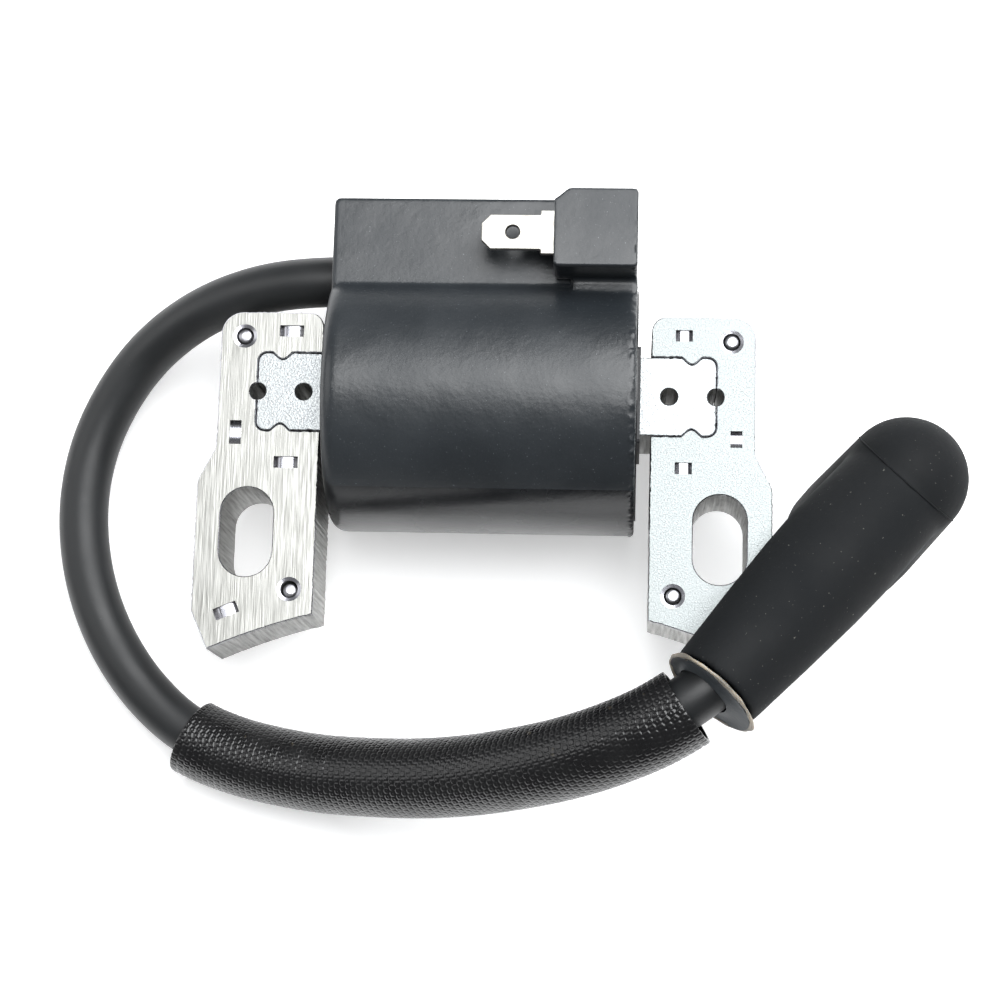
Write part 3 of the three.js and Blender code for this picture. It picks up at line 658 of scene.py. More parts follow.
def stack(outer, holes, bottom, top, pockets=(), sheet=SHEET):
    """Points and faces of a laminated plate.

    A hole is (outline, width of its bevelled edge); a pocket is (outline, floor rings) and
    opens in the top face.
    """
    loops = [(turned_round(outer, True), EDGE)]
    loops += [(turned_round(hole, False), edge) for hole, edge in holes]
    points, faces, bottoms, tops = [], [], [], []
    for loop, edge in loops:
        levels = sheet_levels(bottom, top, sheet, edge)
        size = len(loop)
        base = len(points)
        for height, inset in levels:
            points += [(p.x, p.y, height) for p in shrunk(loop, inset)]
        for r in range(len(levels) - 1):
            for k in range(size):
                a, b = base + r * size + k, base + r * size + (k + 1) % size
                faces.append((a, b, b + size, a + size))
        bottoms.append(list(range(base, base + size)))
        tops.append(list(range(len(points) - size, len(points))))
    for outline, floor in pockets:
        size = len(outline)
        base = len(points)
        rim = turned_round(outline, False)
        points += [(p.x, p.y, top) for p in rim]
        tops.append(list(range(base, base + size)))
        wall, centre = floor(rim)
        points += wall
        for k in range(size):
            n = (k + 1) % size
            faces.append((base + k, base + n, base + size + n, base + size + k))
        centre_at = len(points)
        points += centre
        rows = len(centre) // size
        for r in range(rows):
            first = base + size if r == 0 else centre_at + (r - 1) * size
            second = centre_at + r * size
            for k in range(size):
                n = (k + 1) % size
                faces.append((first + k, first + n, second + n, second + k))
    for rings in (bottoms, tops):
        flat = [index for ring in rings for index in ring]
        loops3 = [[Vector(points[i]) for i in ring] for ring in rings]
        faces += [tuple(flat[i] for i in face) for face in tessellate_polygon(loops3)]
    return points, faces


# %% [markdown]
# ### Dimples
#
# The sheets are locked together by half-pierced dimples. A punch pushes a little bridge of
# metal down, so the middle of each dimple is a shallow, shiny hump and its two ends fall away
# and look dark. The floor is a short series of rings that shrink to the middle and rise there.


# %% The dimple's floor
def dimple(x, y, turn, top, length, width=1.6):
    spin = Matrix.Rotation(math.radians(turn), 2)
    place = Vector((x, y))
    steps = 20
    half_l, half_w = length / 2, width / 2
    flat = [(half_l * (2 * k / steps - 1), -half_w) for k in range(steps)]
    flat += [(half_l, half_w * (2 * k / 4 - 1)) for k in range(4)]
    flat += [(half_l * (1 - 2 * k / steps), half_w) for k in range(steps)]
    flat += [(-half_l, half_w * (1 - 2 * k / 4)) for k in range(4)]
    outline = [place + spin @ Vector(p) for p in flat]

    def floor(rim):
        def depth(point):
            along = abs((spin.inverted() @ (point - place)).x) / half_l
            return 0.28 + 0.14 * along**2 + 0.36 * max(0.0, (along - 0.45) / 0.55) ** 1.6

        wall = [(p.x, p.y, top - depth(p)) for p in rim]
        centre = []
        for share in (0.8, 0.4, 0.001):
            for p in rim:
                q = spin.inverted() @ (p - place)
                inner = place + spin @ Vector((q.x * 0.96, q.y * share * 0.92))
                centre.append((inner.x, inner.y, top - depth(inner)))
        return wall, centre

    return outline, floor


# %% The legs' outline
LEG_OUTER = 36.35
LEG_WIDE = leg_high.x
LEG_INNER = leg_low.x
LEG_TOP = leg_high.y
SHOULDER = (-3.23, -7.83)
CHAMFER_Y = -25.53
POLE_RADIUS = 88.2
POLE_CENTRE = -111.03
BAR_END = bar_high.x
BAR_SIDE = (bar_high.y - bar_low.y) / 2
JOINT = 0.15
NOTCH_X = 27.8
NOTCH_HALF = 1.4
NOTCH_DEPTH = 0.95
HOLE_RADIUS = 1.15
SLOT = (31.75, -14.73, 7.2, 12.2)
RIVETS = {"upper": (33.1, 12.34), "lower": (25.6, -22.43)}
RIVET_HOLE = 1.2
RIVET_SINK = 0.45
DIMPLES = [(26.7, 13.13, 0), (33.83, -1.08, 90), (26.78, -5.13, 0), (33.97, -25.48, -22.5)]


def worn(outline, amount, spacing=0.3, seed=3):
    """Long edges broken into short steps that wander in and out a little."""
    chance = random.Random(seed)
    path = []
    for here, after in zip(outline, outline[1:] + outline[:1]):
        length = (after - here).length
        pieces = max(1, int(length / spacing))
        across = Vector((here.y - after.y, after.x - here.x)).normalized()
        path.append(here)
        for k in range(1, pieces):
            nick = chance.uniform(-1, 1) ** 3 * amount
            path.append(here.lerp(after, k / pieces) + across * nick)
    return path


def pole_face(x):
    return (x, POLE_CENTRE + math.sqrt(POLE_RADIUS**2 - x * x), 0)


def notch_arc(side, reach, steps=16):
    """A smooth dent in a long edge; side is 1 at the bar's upper edge, -1 at the lower."""
    arc = []
    for k in range(steps + 1):
        u = 2 * k / steps - 1
        drop = NOTCH_DEPTH * math.cos(math.pi * u / 2) ** 1.3 if abs(u) < 1 else 0
        arc.append((NOTCH_X + side * u * NOTCH_HALF, AXIS_Y + side * (reach - drop), 0))
    return arc


def half_hole(steps=10):
    """The leg's half of the round hole at the bar's end."""
    arc = []
    for k in range(steps + 1):
        angle = math.pi / 2 - math.pi * k / steps
        x = BAR_END + JOINT + HOLE_RADIUS * math.cos(angle) * 0.8
        arc.append((x, AXIS_Y + HOLE_RADIUS * math.sin(angle), 0))
    return arc


def leg_outline():
    reach = BAR_SIDE + JOINT
    end = BAR_END + JOINT
    return rounded([
        (LEG_INNER, AXIS_Y + reach, 0.15),
        *notch_arc(1, reach),
        (end, AXIS_Y + reach, 1.3),
        *half_hole(),
        (end, AXIS_Y - reach, 1.3),
        *notch_arc(-1, reach),
        (LEG_INNER, AXIS_Y - reach, 0.15),
        *(pole_face(LEG_INNER + (LEG_OUTER - LEG_INNER) * k / 12) for k in range(13)),
        (LEG_WIDE, CHAMFER_Y, 0.4),
        (LEG_WIDE, SHOULDER[1], 3),
        (LEG_OUTER, SHOULDER[0], 2.5),
        (LEG_OUTER, LEG_TOP, 3),
        (LEG_INNER, LEG_TOP, 2),
    ])


print("leg outline has", len(leg_outline()), "points")


# %% Both legs
def mirrored(outline, side):
    return [Vector((side * p.x, p.y)) for p in outline]


def make_leg(name, side, finish, dimple_length):
    """A leg on the given side (-1 or 1), with its top face in the given finish."""
    x, y, width, length = SLOT
    slot = rounded([
        (x - width / 2, y - length / 2, width / 2 - 0.01),
        (x + width / 2, y - length / 2, width / 2 - 0.01),
        (x + width / 2, y + length / 2, width / 2 - 0.01),
        (x - width / 2, y + length / 2, width / 2 - 0.01),
    ], 12)
    holes = [(slot, EDGE)]
    holes += [(circle(*place, RIVET_HOLE), RIVET_SINK) for place in RIVETS.values()]
    pockets = [dimple(side * x, y, side * turn, leg_high.z, dimple_length) for x, y, turn in DIMPLES]
    plate = stack(
        mirrored(worn(leg_outline(), 0.07), side),
        [(mirrored(hole, side), edge) for hole, edge in holes],
        leg_low.z,
        leg_high.z,
        pockets,
    )
    leg = make_piece(name + "_stack", *plate, finish, 12)
    floor = leg_high.z - 1.3
    finish_where(leg, cut_steel, lambda at, normal: abs(normal.z) < 0.6)
    finish_where(leg, pressed_steel, lambda at, normal: (
        normal.z > 0.2 and floor < at.z < leg_high.z - 0.05))
    seat(leg, "coil", "laminated_steel", name)
    return leg


make_leg("left_leg", -1, laminated_steel, 3.3)
# The right leg's darker steel is painted shade over the main lamp's highlight.
make_leg("right_leg", 1, plated_steel_painted_shade, 2.3)


# %% [markdown]
# ## The core bar
#
# The bar goes through the barrel and is pressed into both legs. Bumps on the legs bite into
# its notches, and the joint shows as a dark line. It is the same kind of stack as a leg.


# %% The bar
def bar_half():
    """The right half of the bar's outline, from the lower edge round to the upper."""
    lower = notch_arc(-1, BAR_SIDE)[::-1]
    upper = notch_arc(1, BAR_SIDE)[::-1]
    bite = []
    for k in range(11):
        angle = -math.pi / 2 + math.pi * k / 10
        bite.append((BAR_END - HOLE_RADIUS * math.cos(angle), AXIS_Y + HOLE_RADIUS * math.sin(angle), 0))
    return [
        *lower,
        (BAR_END, AXIS_Y - BAR_SIDE, 1.2),
        *bite,
        (BAR_END, AXIS_Y + BAR_SIDE, 1.2),
        *upper,
    ]


right_half = bar_half()
left_half = [(-x, y, r) for x, y, r in right_half][::-1]
bar_holes = [(circle(x, AXIS_Y, HOLE_RADIUS), EDGE) for x in (-24.76, 24.76)]
bar_outline = worn(rounded(right_half + left_half), 0.1, seed=8)
bar_plate = stack(bar_outline, bar_holes, bar_low.z, bar_high.z)
bar = make_piece("core_bar_stack", *bar_plate, zinc_steel, 12)
finish_where(bar, cut_steel, lambda at, normal: abs(normal.z) < 0.6)
seat(bar, "coil", "zinc_steel", "core_bar")

# %% [markdown]
# ## Rivets
#
# A rivet runs through each end of a leg. Its cut end is slightly domed, with a small bright
# rim, and sits in a hole a little larger than itself. A turned profile is all it needs.


# %% Turned pieces
def lathe(profile, steps=48):
    """Points and faces of a closed turned body; the profile is a list of (radius, height)."""
    points, faces = [], []
    rings = []
    for radius, height in profile:
        count = 1 if radius < 1e-6 else steps
        rings.append((len(points), count))
        for k in range(count):
            angle = 2 * math.pi * k / steps
            points.append((radius * math.cos(angle), radius * math.sin(angle), height))
    for (a, na), (b, nb) in zip(rings, rings[1:]):
        for k in range(steps):
            n = (k + 1) % steps
            if na == 1 and nb == 1:
                break
            if na == 1:
                faces.append((a, b + k, b + n))
            elif nb == 1:
                faces.append((a + k, a + n, b))
            else:
                faces.append((a + k, a + n, b + n, b + k))
    return points, faces


def moved(shape, matrix):
    points, faces = shape
    return [tuple(matrix @ Vector(p)) for p in points], faces


# %% The four rivets
RIVET_RADIUS = 0.98
for side_name, side in (("left", -1), ("right", 1)):
    for place, (x, y) in RIVETS.items():
        top, low, r = leg_high.z, leg_low.z, RIVET_RADIUS
        sunk = 0.9 if (side_name, place) == ("left", "lower") else -0.05
        head = [(0, top - sunk - 0.05), (r * 0.45, top - sunk), (r * 0.8, top - sunk - 0.03),
                (r, top - sunk - 0.2)]
        profile = head + [(r, low + 0.2), (r * 0.8, low + 0.03), (0, low)]
        rivet = make_piece(
            f"{side_name}_{place}_rivet_pin",
            *moved(lathe(profile, 32), Matrix.Translation((side * x, y, 0))),
            rivet_steel,
            50,
        )
        seat(rivet, "coil", "rivet_steel", f"{side_name}_{place}_rivet")


# %% [markdown]
# ## The housing
#
# The barrel, the module block and the connector are one moulding with soft inside corners.
# Simple closed forms are laid into each other, hollowed with booleans, and then remeshed into
# one skin. Smoothing that skin rounds every edge a little, the way a mould does.


# %% Cutting and fusing
def apply_modifiers(piece):
    bpy.context.view_layer.update()
    evaluated = piece.evaluated_get(bpy.context.evaluated_depsgraph_get())
    mesh = bpy.data.meshes.new_from_object(evaluated)
    piece.modifiers.clear()
    piece.data = mesh


def boolean(piece, operation, *tools):
    for tool in tools:
        modifier = piece.modifiers.new(operation.lower(), "BOOLEAN")
        modifier.operation = operation
        modifier.solver = "EXACT"
        modifier.object = tool
        apply_modifiers(piece)
        bpy.data.objects.remove(tool)


def fuse(piece, voxel, smoothing, rounds):
    """Remeshes overlapping closed forms into one skin and rounds its edges."""
    remesh = piece.modifiers.new("skin", "REMESH")
    remesh.mode = "VOXEL"
    remesh.voxel_size = voxel * MM
    soften = piece.modifiers.new("soften", "SMOOTH")
    soften.factor = smoothing
    soften.iterations = rounds
    apply_modifiers(piece)
    smooth_shading(piece.data, 180)


def prism(outline, low, high):
    """Points and faces of an outline pulled straight up."""
    size = len(outline)
    points = [(p.x, p.y, low) for p in outline] + [(p.x, p.y, high) for p in outline]
    faces = [tuple(range(size))[::-1], tuple(range(size, 2 * size))]
    for k in range(size):
        n = (k + 1) % size
        faces.append((k, n, n + size, k + size))
    return points, faces


def cuboid(x0, x1, y0, y1, z0, z1, radius=0.0):
    corners = [(x0, y0, radius), (x1, y0, radius), (x1, y1, radius), (x0, y1, radius)]
    return prism(rounded(corners, 5), z0, z1)


ALONG_X = Matrix.Translation((0, AXIS_Y, AXIS_Z)) @ Matrix.Rotation(math.pi / 2, 4, "Y")

# %% The housing's forms
LEFT, RIGHT = case_low.x, case_high.x
BLOCK = dict(left=-20.9, right=20.25, outer=case_high.y, half=11.25)
BLOCK_TOP = AXIS_Z + BLOCK["half"]
WALL = 2
BLOCK_STEP = math.sqrt(BARREL_RADIUS**2 - BLOCK["half"] ** 2)
edge = [(BARREL_RADIUS - 2 + 2 * math.sin(a), LEFT + 2 - 2 * math.cos(a))
        for a in np.linspace(0, math.pi / 2, 9)]
barrel_profile = [(0, LEFT), *edge, (BARREL_RADIUS, RIGHT - 0.3), (BARREL_RADIUS - 0.3, RIGHT), (0, RIGHT)]
housing = make_piece("housing_moulding", *moved(lathe(barrel_profile, 160), ALONG_X), housing_plastic)
block = make_piece("block", *cuboid(
    BLOCK["left"], BLOCK["right"], AXIS_Y, BLOCK["outer"],
    AXIS_Z - BLOCK["half"], BLOCK_TOP, 0.8), housing_plastic)
PLUG = dict(left=9.2, right=20.24, front=19.15, back=29.9, bottom=30.0, top=case_high.z)
plug_outline = rounded([
    (PLUG["left"], PLUG["front"], 0.5),
    (PLUG["right"], PLUG["front"], 0.5),
    (PLUG["right"], PLUG["back"], 0.5),
    (PLUG["left"] + 2, PLUG["back"], 0.3),
    (PLUG["left"], PLUG["back"] - 1.6, 0.3),
], 4)
plug = make_piece("plug", *prism(plug_outline, PLUG["bottom"], PLUG["top"]), housing_plastic)
pedestal = make_piece("pedestal", *cuboid(
    11.7, PLUG["right"], 15.3, PLUG["back"], BLOCK_TOP - 4, PLUG["bottom"] + 0.6, 0.8), housing_plastic)
boolean(housing, "UNION", block, pedestal, plug)
print("housing joined:", len(housing.data.polygons), "faces")

# %% [markdown]
# ### Hollowing the housing
#
# The barrel is open at its right end, where the resin was poured in. The core bar's bobbin
# passes a square window in the left end, and the lead goes into a round socket.

# %% Hollow forms
BOBBIN = (7.0, 8.0)
LEAD_Y, LEAD_Z = LEAD_ROUTE[0][1] / MM, LEAD_ROUTE[0][2] / MM
winding_room = make_piece("winding_room", *moved(lathe([
    (0, LEFT + WALL), (BARREL_RADIUS - WALL, LEFT + WALL),
    (BARREL_RADIUS - WALL, RIGHT + 1), (0, RIGHT + 1)], 96), ALONG_X), housing_plastic)
module_room = make_piece("module_room", *cuboid(
    -6, 18.2, AXIS_Y + 8, BLOCK["outer"] - WALL,
    AXIS_Z - BLOCK["half"] + WALL, BLOCK_TOP - WALL), housing_plastic)
window = make_piece("window", *cuboid(
    LEFT - 1, LEFT + WALL + 1, AXIS_Y - BOBBIN[0], AXIS_Y + BOBBIN[0],
    AXIS_Z - BOBBIN[1], AXIS_Z + BOBBIN[1]), housing_plastic)
lead_axis = Matrix.Translation((0, LEAD_Y, LEAD_Z)) @ Matrix.Rotation(math.pi / 2, 4, "Y")
socket = make_piece("socket", *moved(lathe(
    [(0, LEFT + 1), (5, LEFT + 1), (5, -7.6), (0, -7.6)], 48), lead_axis), housing_plastic)
bore = make_piece("bore", *moved(lathe(
    [(0, LEFT - 1), (4.1, LEFT - 1), (3.8, LEFT + 1), (3.8, -8.4), (0, -8.4)], 48), lead_axis), housing_plastic)
tab_room = make_piece("tab_room", *cuboid(8, 15.2, 21.2, 27.8, 33, 34.4), housing_plastic)
boolean(housing, "DIFFERENCE", winding_room, module_room)
boolean(housing, "UNION", socket)
boolean(housing, "DIFFERENCE", bore, window, tab_room)
VOXEL = 0.28
fuse(housing, VOXEL, 0.5, 2)


def roughen_edges(piece, beyond, amount):
    """Pushes the edges beyond an x in and out, as flash that was broken off by hand."""
    for vertex in piece.data.vertices:
        at = vertex.co / MM
        if at.x > beyond and 0.12 < vertex.normal.x < 0.93:
            vertex.co += lumps.noise_vector(at * 1.1) * amount * MM


roughen_edges(housing, BLOCK["right"] - 0.6, 0.26)
step = AXIS_Y + BLOCK_STEP
finish_where(housing, block_plastic, lambda at, normal: at.y > step or at.z > BLOCK_TOP)
seat(housing, "coil", "housing_plastic", "housing")

# %% [markdown]
# ## The potting resin
#
# The resin was poured in at the right end and stands a little below the rim, with a few runs
# over it. It is a ring of small steps from the bobbin out to the wall, and its face is pushed
# in and out with a few sine waves, which repeat the same way each time.


# %% The resin
def potting_mesh():
    around, rows = 120, 22
    outer = BARREL_RADIUS - WALL - 0.1
    face_x, back_x = RIGHT - 0.35, 16.8
    points, faces = [], []
    for r in range(rows + 1):
        share = r / rows
        for k in range(around):
            angle = 2 * math.pi * k / around
            c, s = math.cos(angle), math.sin(angle)
            inner = 1 / max(abs(c) / (BOBBIN[0] - 0.05), abs(s) / (BOBBIN[1] - 0.05))
            radius = inner + (outer - inner) * share
            lump = 0.16 * math.sin(5 * angle + 2.2 * share) + 0.1 * math.sin(11 * angle - 7 * share)
            lump += 0.07 * math.sin(23 * angle + 13 * share)
            meniscus = 0.55 * max(0, share - 0.8) / 0.2
            x = min(face_x + lump * (1 - share) + meniscus, RIGHT + 0.25)
            points.append((x, AXIS_Y + radius * c, AXIS_Z + radius * s))
    back = len(points)
    for radius_share in (1, 0):
        for k in range(around):
            angle = 2 * math.pi * k / around
            c, s = math.cos(angle), math.sin(angle)
            inner = 1 / max(abs(c) / (BOBBIN[0] - 0.05), abs(s) / (BOBBIN[1] - 0.05))
            radius = outer if radius_share else inner
            points.append((back_x, AXIS_Y + radius * c, AXIS_Z + radius * s))
    order = [*range(0, (rows + 1) * around, around), back, back + around, 0]
    for a, b in zip(order, order[1:]):
        for k in range(around):
            n = (k + 1) % around
            faces.append((a + k, a + n, b + n, b + k))
    return points, faces


potting = make_piece("potting_face", *potting_mesh(), potting_resin, 60)
seat(potting, "coil", "potting_resin", "potting")

# %% [markdown]
# ## The stop terminal
#
# The engine's stop wire plugs onto this spade tab. It is stamped from sheet, so its edges are
# slightly rounded and its tip is chamfered at the corners. The stack of outlines that made
# the legs makes it too, with one sheet and small edges.

# %% The spade tab
tab_low, tab_high = box_mm("stop_terminal")
TAB_Y = (tab_low.y + tab_high.y) / 2
TIP, SHOULDER_X, INSIDE = tab_low.x, 7.35, 14.6
HALF, WIDE, CHAMFER = 2.375, 3.0, 1.2
tab_outline = rounded([
    (TIP, TAB_Y - HALF + CHAMFER, 0.2),
    (TIP + CHAMFER, TAB_Y - HALF, 0.2),
    (SHOULDER_X, TAB_Y - HALF, 0.15),
    (SHOULDER_X, TAB_Y - WIDE, 0.2),
    (INSIDE, TAB_Y - WIDE, 0),
    (INSIDE, TAB_Y + WIDE, 0),
    (SHOULDER_X, TAB_Y + WIDE, 0.2),
    (SHOULDER_X, TAB_Y + HALF, 0.15),
    (TIP + CHAMFER, TAB_Y + HALF, 0.2),
    (TIP, TAB_Y + HALF - CHAMFER, 0.2),
], 4)
tab_hole = circle(3.65, TAB_Y, 0.92, 32)
TAB_THICKNESS = 0.8
tab_plate = stack(
    tab_outline, [(tab_hole, EDGE)], tab_high.z - TAB_THICKNESS, tab_high.z, sheet=TAB_THICKNESS
)
tab = make_piece("stop_tab", *tab_plate, tinned_brass, 30)
seat(tab, "coil", "tinned_brass", "stop_terminal")

# %% [markdown]
# ## The boot
#
# The boot is a soft rubber elbow: a tapered sleeve around the lead and a wide tube for the
# spark plug, which meet under a round dome. It turns on the lead's end, so its own axis is
# the joint's axis. Its forms are fused and smoothed like the housing, with more rounding.

# %% The boot's own frame
swivel = next(j for j in frame["joints"] if j["name"] == "boot_swivel")
BOOT_HEADING, BOOT_PITCH, BOOT_ROLL, ELBOW_LEAN = 49.1, 12, 3, 8
boot_place = (
    Matrix.Translation(Vector(swivel["pos_m"]) / MM)
    @ Matrix.Rotation(math.radians(BOOT_HEADING + 180), 4, "Z")
    @ Matrix.Rotation(math.radians(-BOOT_PITCH), 4, "Y")
    @ Matrix.Rotation(math.radians(-BOOT_ROLL), 4, "X")
)
along_boot = boot_place @ Matrix.Rotation(math.pi / 2, 4, "Y")
down_tube = boot_place @ Matrix.Rotation(math.radians(-ELBOW_LEAN), 4, "Y") @ Matrix.Rotation(math.pi, 4, "X")
print("boot axis", [round(c, 3) for c in boot_place.col[0].xyz], "joint axis", swivel["axis"])

# %% The boot's forms
BOOT_LENGTH, COLLAR_RADIUS, HEAD_RADIUS = 39.4, 6.3, 8.2
TUBE_LENGTH, TUBE_RADIUS, TUBE_BORE = 23.6, 8.9, 5.5
dome = [(HEAD_RADIUS * math.sin(a), -HEAD_RADIUS * math.cos(a)) for a in np.linspace(0, math.pi / 2, 12)]
tube_profile = [*dome, (TUBE_RADIUS, TUBE_LENGTH - 6), (TUBE_RADIUS, TUBE_LENGTH - 0.5),
                (TUBE_RADIUS - 0.5, TUBE_LENGTH), (0, TUBE_LENGTH)]
body_profile = [(0, 0), (7.5, 0), (7.7, 8), (7.9, 14), (7.7, 20), (7.1, 29),
                (COLLAR_RADIUS, BOOT_LENGTH - 0.4), (COLLAR_RADIUS - 0.3, BOOT_LENGTH), (0, BOOT_LENGTH)]
boot = make_piece("boot_elbow", *moved(lathe(body_profile, 96), along_boot), boot_rubber)
tube = make_piece("tube", *moved(lathe(tube_profile, 96), down_tube), boot_rubber)
lead_bore = make_piece("lead_bore", *moved(lathe(
    [(0, 1), (3.9, 1), (3.9, BOOT_LENGTH - 9), (5.6, BOOT_LENGTH + 1), (0, BOOT_LENGTH + 1)], 64),
    along_boot), boot_rubber)
plug_bore = make_piece("plug_bore", *moved(lathe(
    [(0, -3), (TUBE_BORE, -3), (TUBE_BORE, TUBE_LENGTH - 1), (TUBE_BORE + 0.8, TUBE_LENGTH + 0.6),
     (0, TUBE_LENGTH + 0.6)], 64), down_tube), boot_rubber)
boolean(boot, "UNION", tube)
boolean(boot, "DIFFERENCE", lead_bore, plug_bore)
fuse(boot, 0.42, 0.5, 8)
seat(boot, "boot", "boot_rubber", "boot_shell")

# %% [markdown]
# ### The parting line
#
# The two halves of the mould met over the dome and left a thin broken ridge. It is a narrow
# strip that follows the skin from side to side, with a height that comes and goes. Rays shot at
# the boot find its skin, so the strip sits on it everywhere.


# %% The ridge over the dome
RIDGE_LEAN = 26.6
RIDGE_REACH = 88


def ridge_mesh(skin, width=0.14, height=0.22, steps=110):
    """A low strip on the boot's skin, in a plane that leans towards the collar."""
    place = boot_place @ Matrix.Rotation(math.radians(RIDGE_LEAN), 4, "Y")
    points, faces = [], []
    for k in range(steps + 1):
        angle = math.radians(RIDGE_REACH * (2 * k / steps - 1))
        rise = height * (0.75 + 0.25 * math.sin(17 * angle) * math.sin(5.3 * angle + 1))
        up = Vector((0, math.sin(angle), math.cos(angle)))
        way = (place.to_3x3() @ up).normalized()
        hit = skin.ray_cast((place.translation + way * 30) * MM, -way)[0]
        reach = (hit / MM - place.translation).length
        for shift, lift in ((-width, -0.1), (-width * 0.3, rise), (width * 0.3, rise), (width, -0.1)):
            points.append(place @ (up * (reach + lift) + Vector((shift, 0, 0))))
    for k in range(steps):
        for j in range(3):
            a = 4 * k + j
            faces.append((a, a + 1, a + 5, a + 4))
        faces.append((4 * k + 3, 4 * k, 4 * k + 4, 4 * k + 7))
    faces += [(0, 1, 2, 3), tuple(4 * steps + j for j in (3, 2, 1, 0))]
    return points, faces


boot_skin = BVHTree.FromPolygons(
    [vertex.co.copy() for vertex in boot.data.vertices],
    [tuple(face.vertices) for face in boot.data.polygons],
)
ridge = make_piece("boot_parting_ridge", *ridge_mesh(boot_skin), boot_rubber, 60)
seat(ridge, "boot", "boot_rubber")

# %% [markdown]
# ### The collar seal
#
# A grey disc closes the boot's mouth around the lead, and a bead of pale silicone was wiped
# around its edge by hand, so the bead's rim wanders. The lead starts to bend right here, which
# is why the disc's hole is off centre. The disc stays on the lead when the boot turns.


# %% The seal
SEAL_RADIUS, SEAL_FACE = 6.7, BOOT_LENGTH + 0.9
HOLE_RADIUS_SEAL, HOLE_Y, HOLE_Z = 3.75, -0.82, -0.87


def seal_mesh(rows=10, steps=96):
    """A dished disc around the lead, with a flat back."""
    points, faces = [], []
    for r in range(rows + 1):
        share = r / rows
        for k in range(steps):
            angle = 2 * math.pi * k / steps
            inner = Vector((HOLE_Y, HOLE_Z)) + Vector((math.cos(angle), math.sin(angle))) * HOLE_RADIUS_SEAL
            outer = Vector((math.cos(angle), math.sin(angle))) * (SEAL_RADIUS - 0.25)
            at = inner.lerp(outer, share)
            dish = 0.25 * math.sin(math.pi * share) + 0.04 * math.sin(4 * angle + 6 * share)
            points.append((SEAL_FACE - dish, at.x, at.y))
    for k in range(steps):
        at = points[rows * steps + k]
        points.append((SEAL_FACE - 0.5, at[1], at[2]))
    for k in range(steps):
        at = points[k]
        points.append((SEAL_FACE - 0.5, at[1], at[2]))
    total = rows + 3
    for r in range(total):
        a, b = r * steps, (r + 1) % total * steps
        for k in range(steps):
            n = (k + 1) % steps
            faces.append((a + k, a + n, b + n, b + k))
    return points, faces


def bead_mesh(steps=120, sides=12):
    """The silicone bead: a thin ring whose size and place wander."""
    points, faces = [], []
    for k in range(steps):
        angle = 2 * math.pi * k / steps
        wander = 0.08 * math.sin(3 * angle + 0.6) + 0.05 * math.sin(8 * angle) + 0.03 * math.sin(19 * angle)
        thick = 0.3 + 0.07 * math.sin(5 * angle + 1) + 0.04 * math.sin(13 * angle)
        for j in range(sides):
            turn = 2 * math.pi * j / sides
            radius = SEAL_RADIUS - 0.1 + wander + thick * math.cos(turn)
            x = SEAL_FACE - 0.25 + thick * 0.8 * math.sin(turn)
            points.append((x, radius * math.cos(angle), radius * math.sin(angle)))
    for k in range(steps):
        n = (k + 1) % steps
        for j in range(sides):
            i = (j + 1) % sides
            faces.append((k * sides + j, k * sides + i, n * sides + i, n * sides + j))
    return points, faces


seal = make_piece("collar_seal_disc", *moved(seal_mesh(), boot_place), seal_face, 60)
seat(seal, "coil", "seal_silicone", "collar_seal")
bead = make_piece("collar_seal_bead", *moved(bead_mesh(), boot_place), seal_silicone, 60)
seat(bead, "coil", "seal_silicone")

# %% [markdown]
# ## Pieces that keep their frame shape
#
# The windings, the module's parts, the pins and the clip are plain shapes on the real coil
# too, and most are out of sight. They stay as the frame has them and take their finishes.

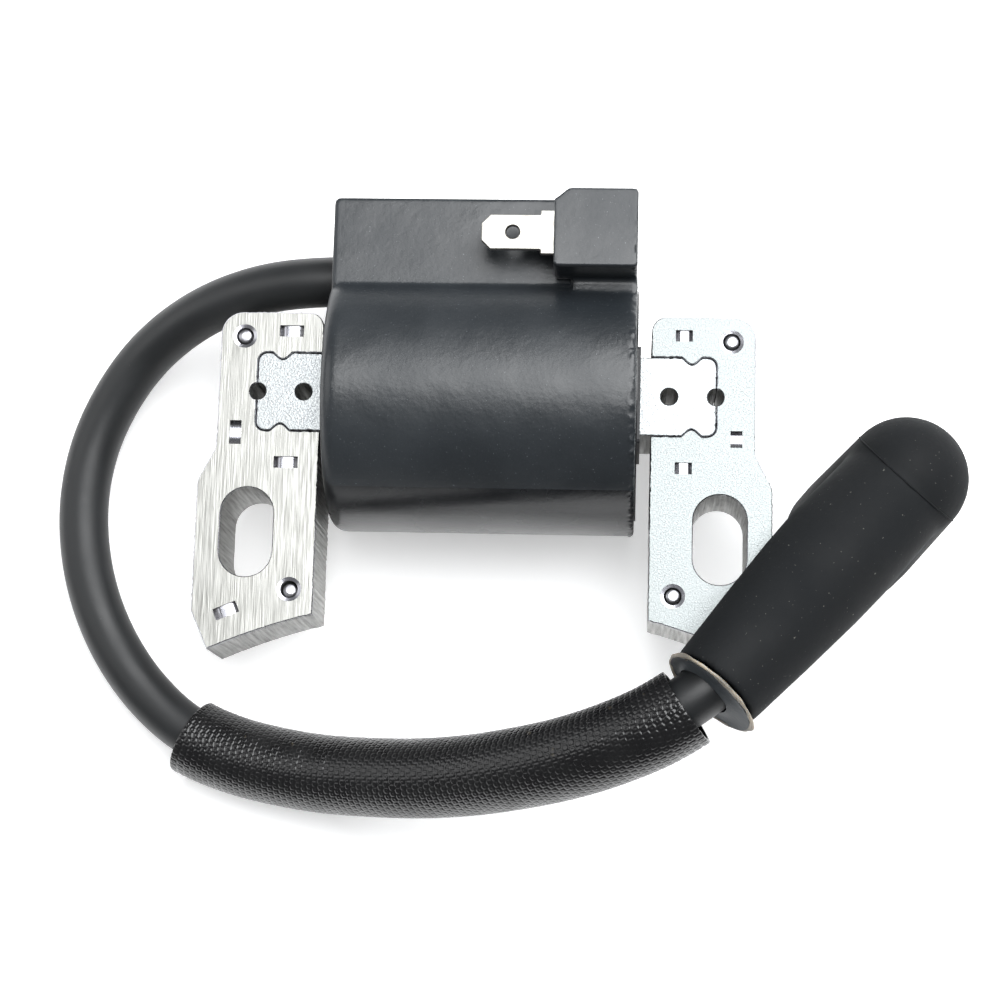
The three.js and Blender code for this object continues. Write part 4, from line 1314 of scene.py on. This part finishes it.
# %% Finishes for the frame's own nodes
KEPT = {
    "primary_bobbin": bobbin_plastic, "secondary_bobbin": bobbin_plastic,
    "primary_winding": copper_wire, "secondary_winding_1": copper_wire,
    "secondary_winding_2": copper_wire, "secondary_winding_3": copper_wire,
    "circuit_board": board_laminate, "switching_transistor": package_plastic,
    "filter_capacitor": ceramic, "bias_resistor": ceramic, "clamp_diode": package_plastic,
    "ground_strap": brass, "high_tension_pin": brass, "crimp_ferrule": brass, "plug_clip": brass,
}
for name, finish in KEPT.items():
    node = frame["nodes"][name]
    node.data.materials.clear()
    node.data.materials.append(finish)
print("kept nodes:", len(KEPT))

# %% [markdown]
# ## The table and the light
#
# A pale table and big soft lamps give the even light of a product picture. The main lamp
# stands behind the coil and to the right, and its reflection is the broad band on the barrel.
# Two soft boxes at the sides light the walls of the holes, and the table is a faint light table,
# which lifts the shadows under the barrel.


# %% Table, lamps and surroundings
def table_finish():
    material, shader = new_finish("table", (0.92, 0.92, 0.92), 0.85)
    shader.inputs["Emission Color"].default_value = (1, 1, 1, 1)
    shader.inputs["Emission Strength"].default_value = 0.4
    link(material, tint(material, noise(material, 6), (0.91, 0.91, 0.91), (0.93, 0.93, 0.93)),
         shader.inputs["Base Color"])
    return material


size = 3000
floor = make_piece("table_top", [(-size, -size, -0.02), (size, -size, -0.02), (size, size, -0.02),
                                 (-size, size, -0.02)], [(0, 1, 2, 3)], table_finish())


def lamp(name, place, aim, width, depth, power, color=(1, 1, 1)):
    """A soft box: width and depth are its sides in metres."""
    data = bpy.data.lights.new(name, "AREA")
    data.shape = "RECTANGLE"
    data.size = width
    data.size_y = depth
    data.energy = power
    data.color = color
    light = bpy.data.objects.new(name, data)
    light.location = place
    light.rotation_euler = (Vector(aim) - Vector(place)).to_track_quat("-Z", "Y").to_euler()
    bpy.context.collection.objects.link(light)
    return light


lamp("main_lamp", (0.16, 0.2, 0.62), (0, 0, 0.02), 0.5, 0.7, 8.2, (0.98, 0.99, 1))
lamp("left_lamp", (-0.55, 0.1, 0.4), (0, 0, 0.01), 0.4, 0.5, 1.2)
lamp("right_lamp", (0.55, 0.1, 0.4), (0, 0, 0.01), 0.4, 0.5, 1.2)
world = bpy.data.worlds.new("surroundings")
bpy.context.scene.world = world
world.use_nodes = True
world.node_tree.nodes["Background"].inputs["Color"].default_value = (0.97, 0.985, 1, 1)
world.node_tree.nodes["Background"].inputs["Strength"].default_value = 0.24
print("lights ready")
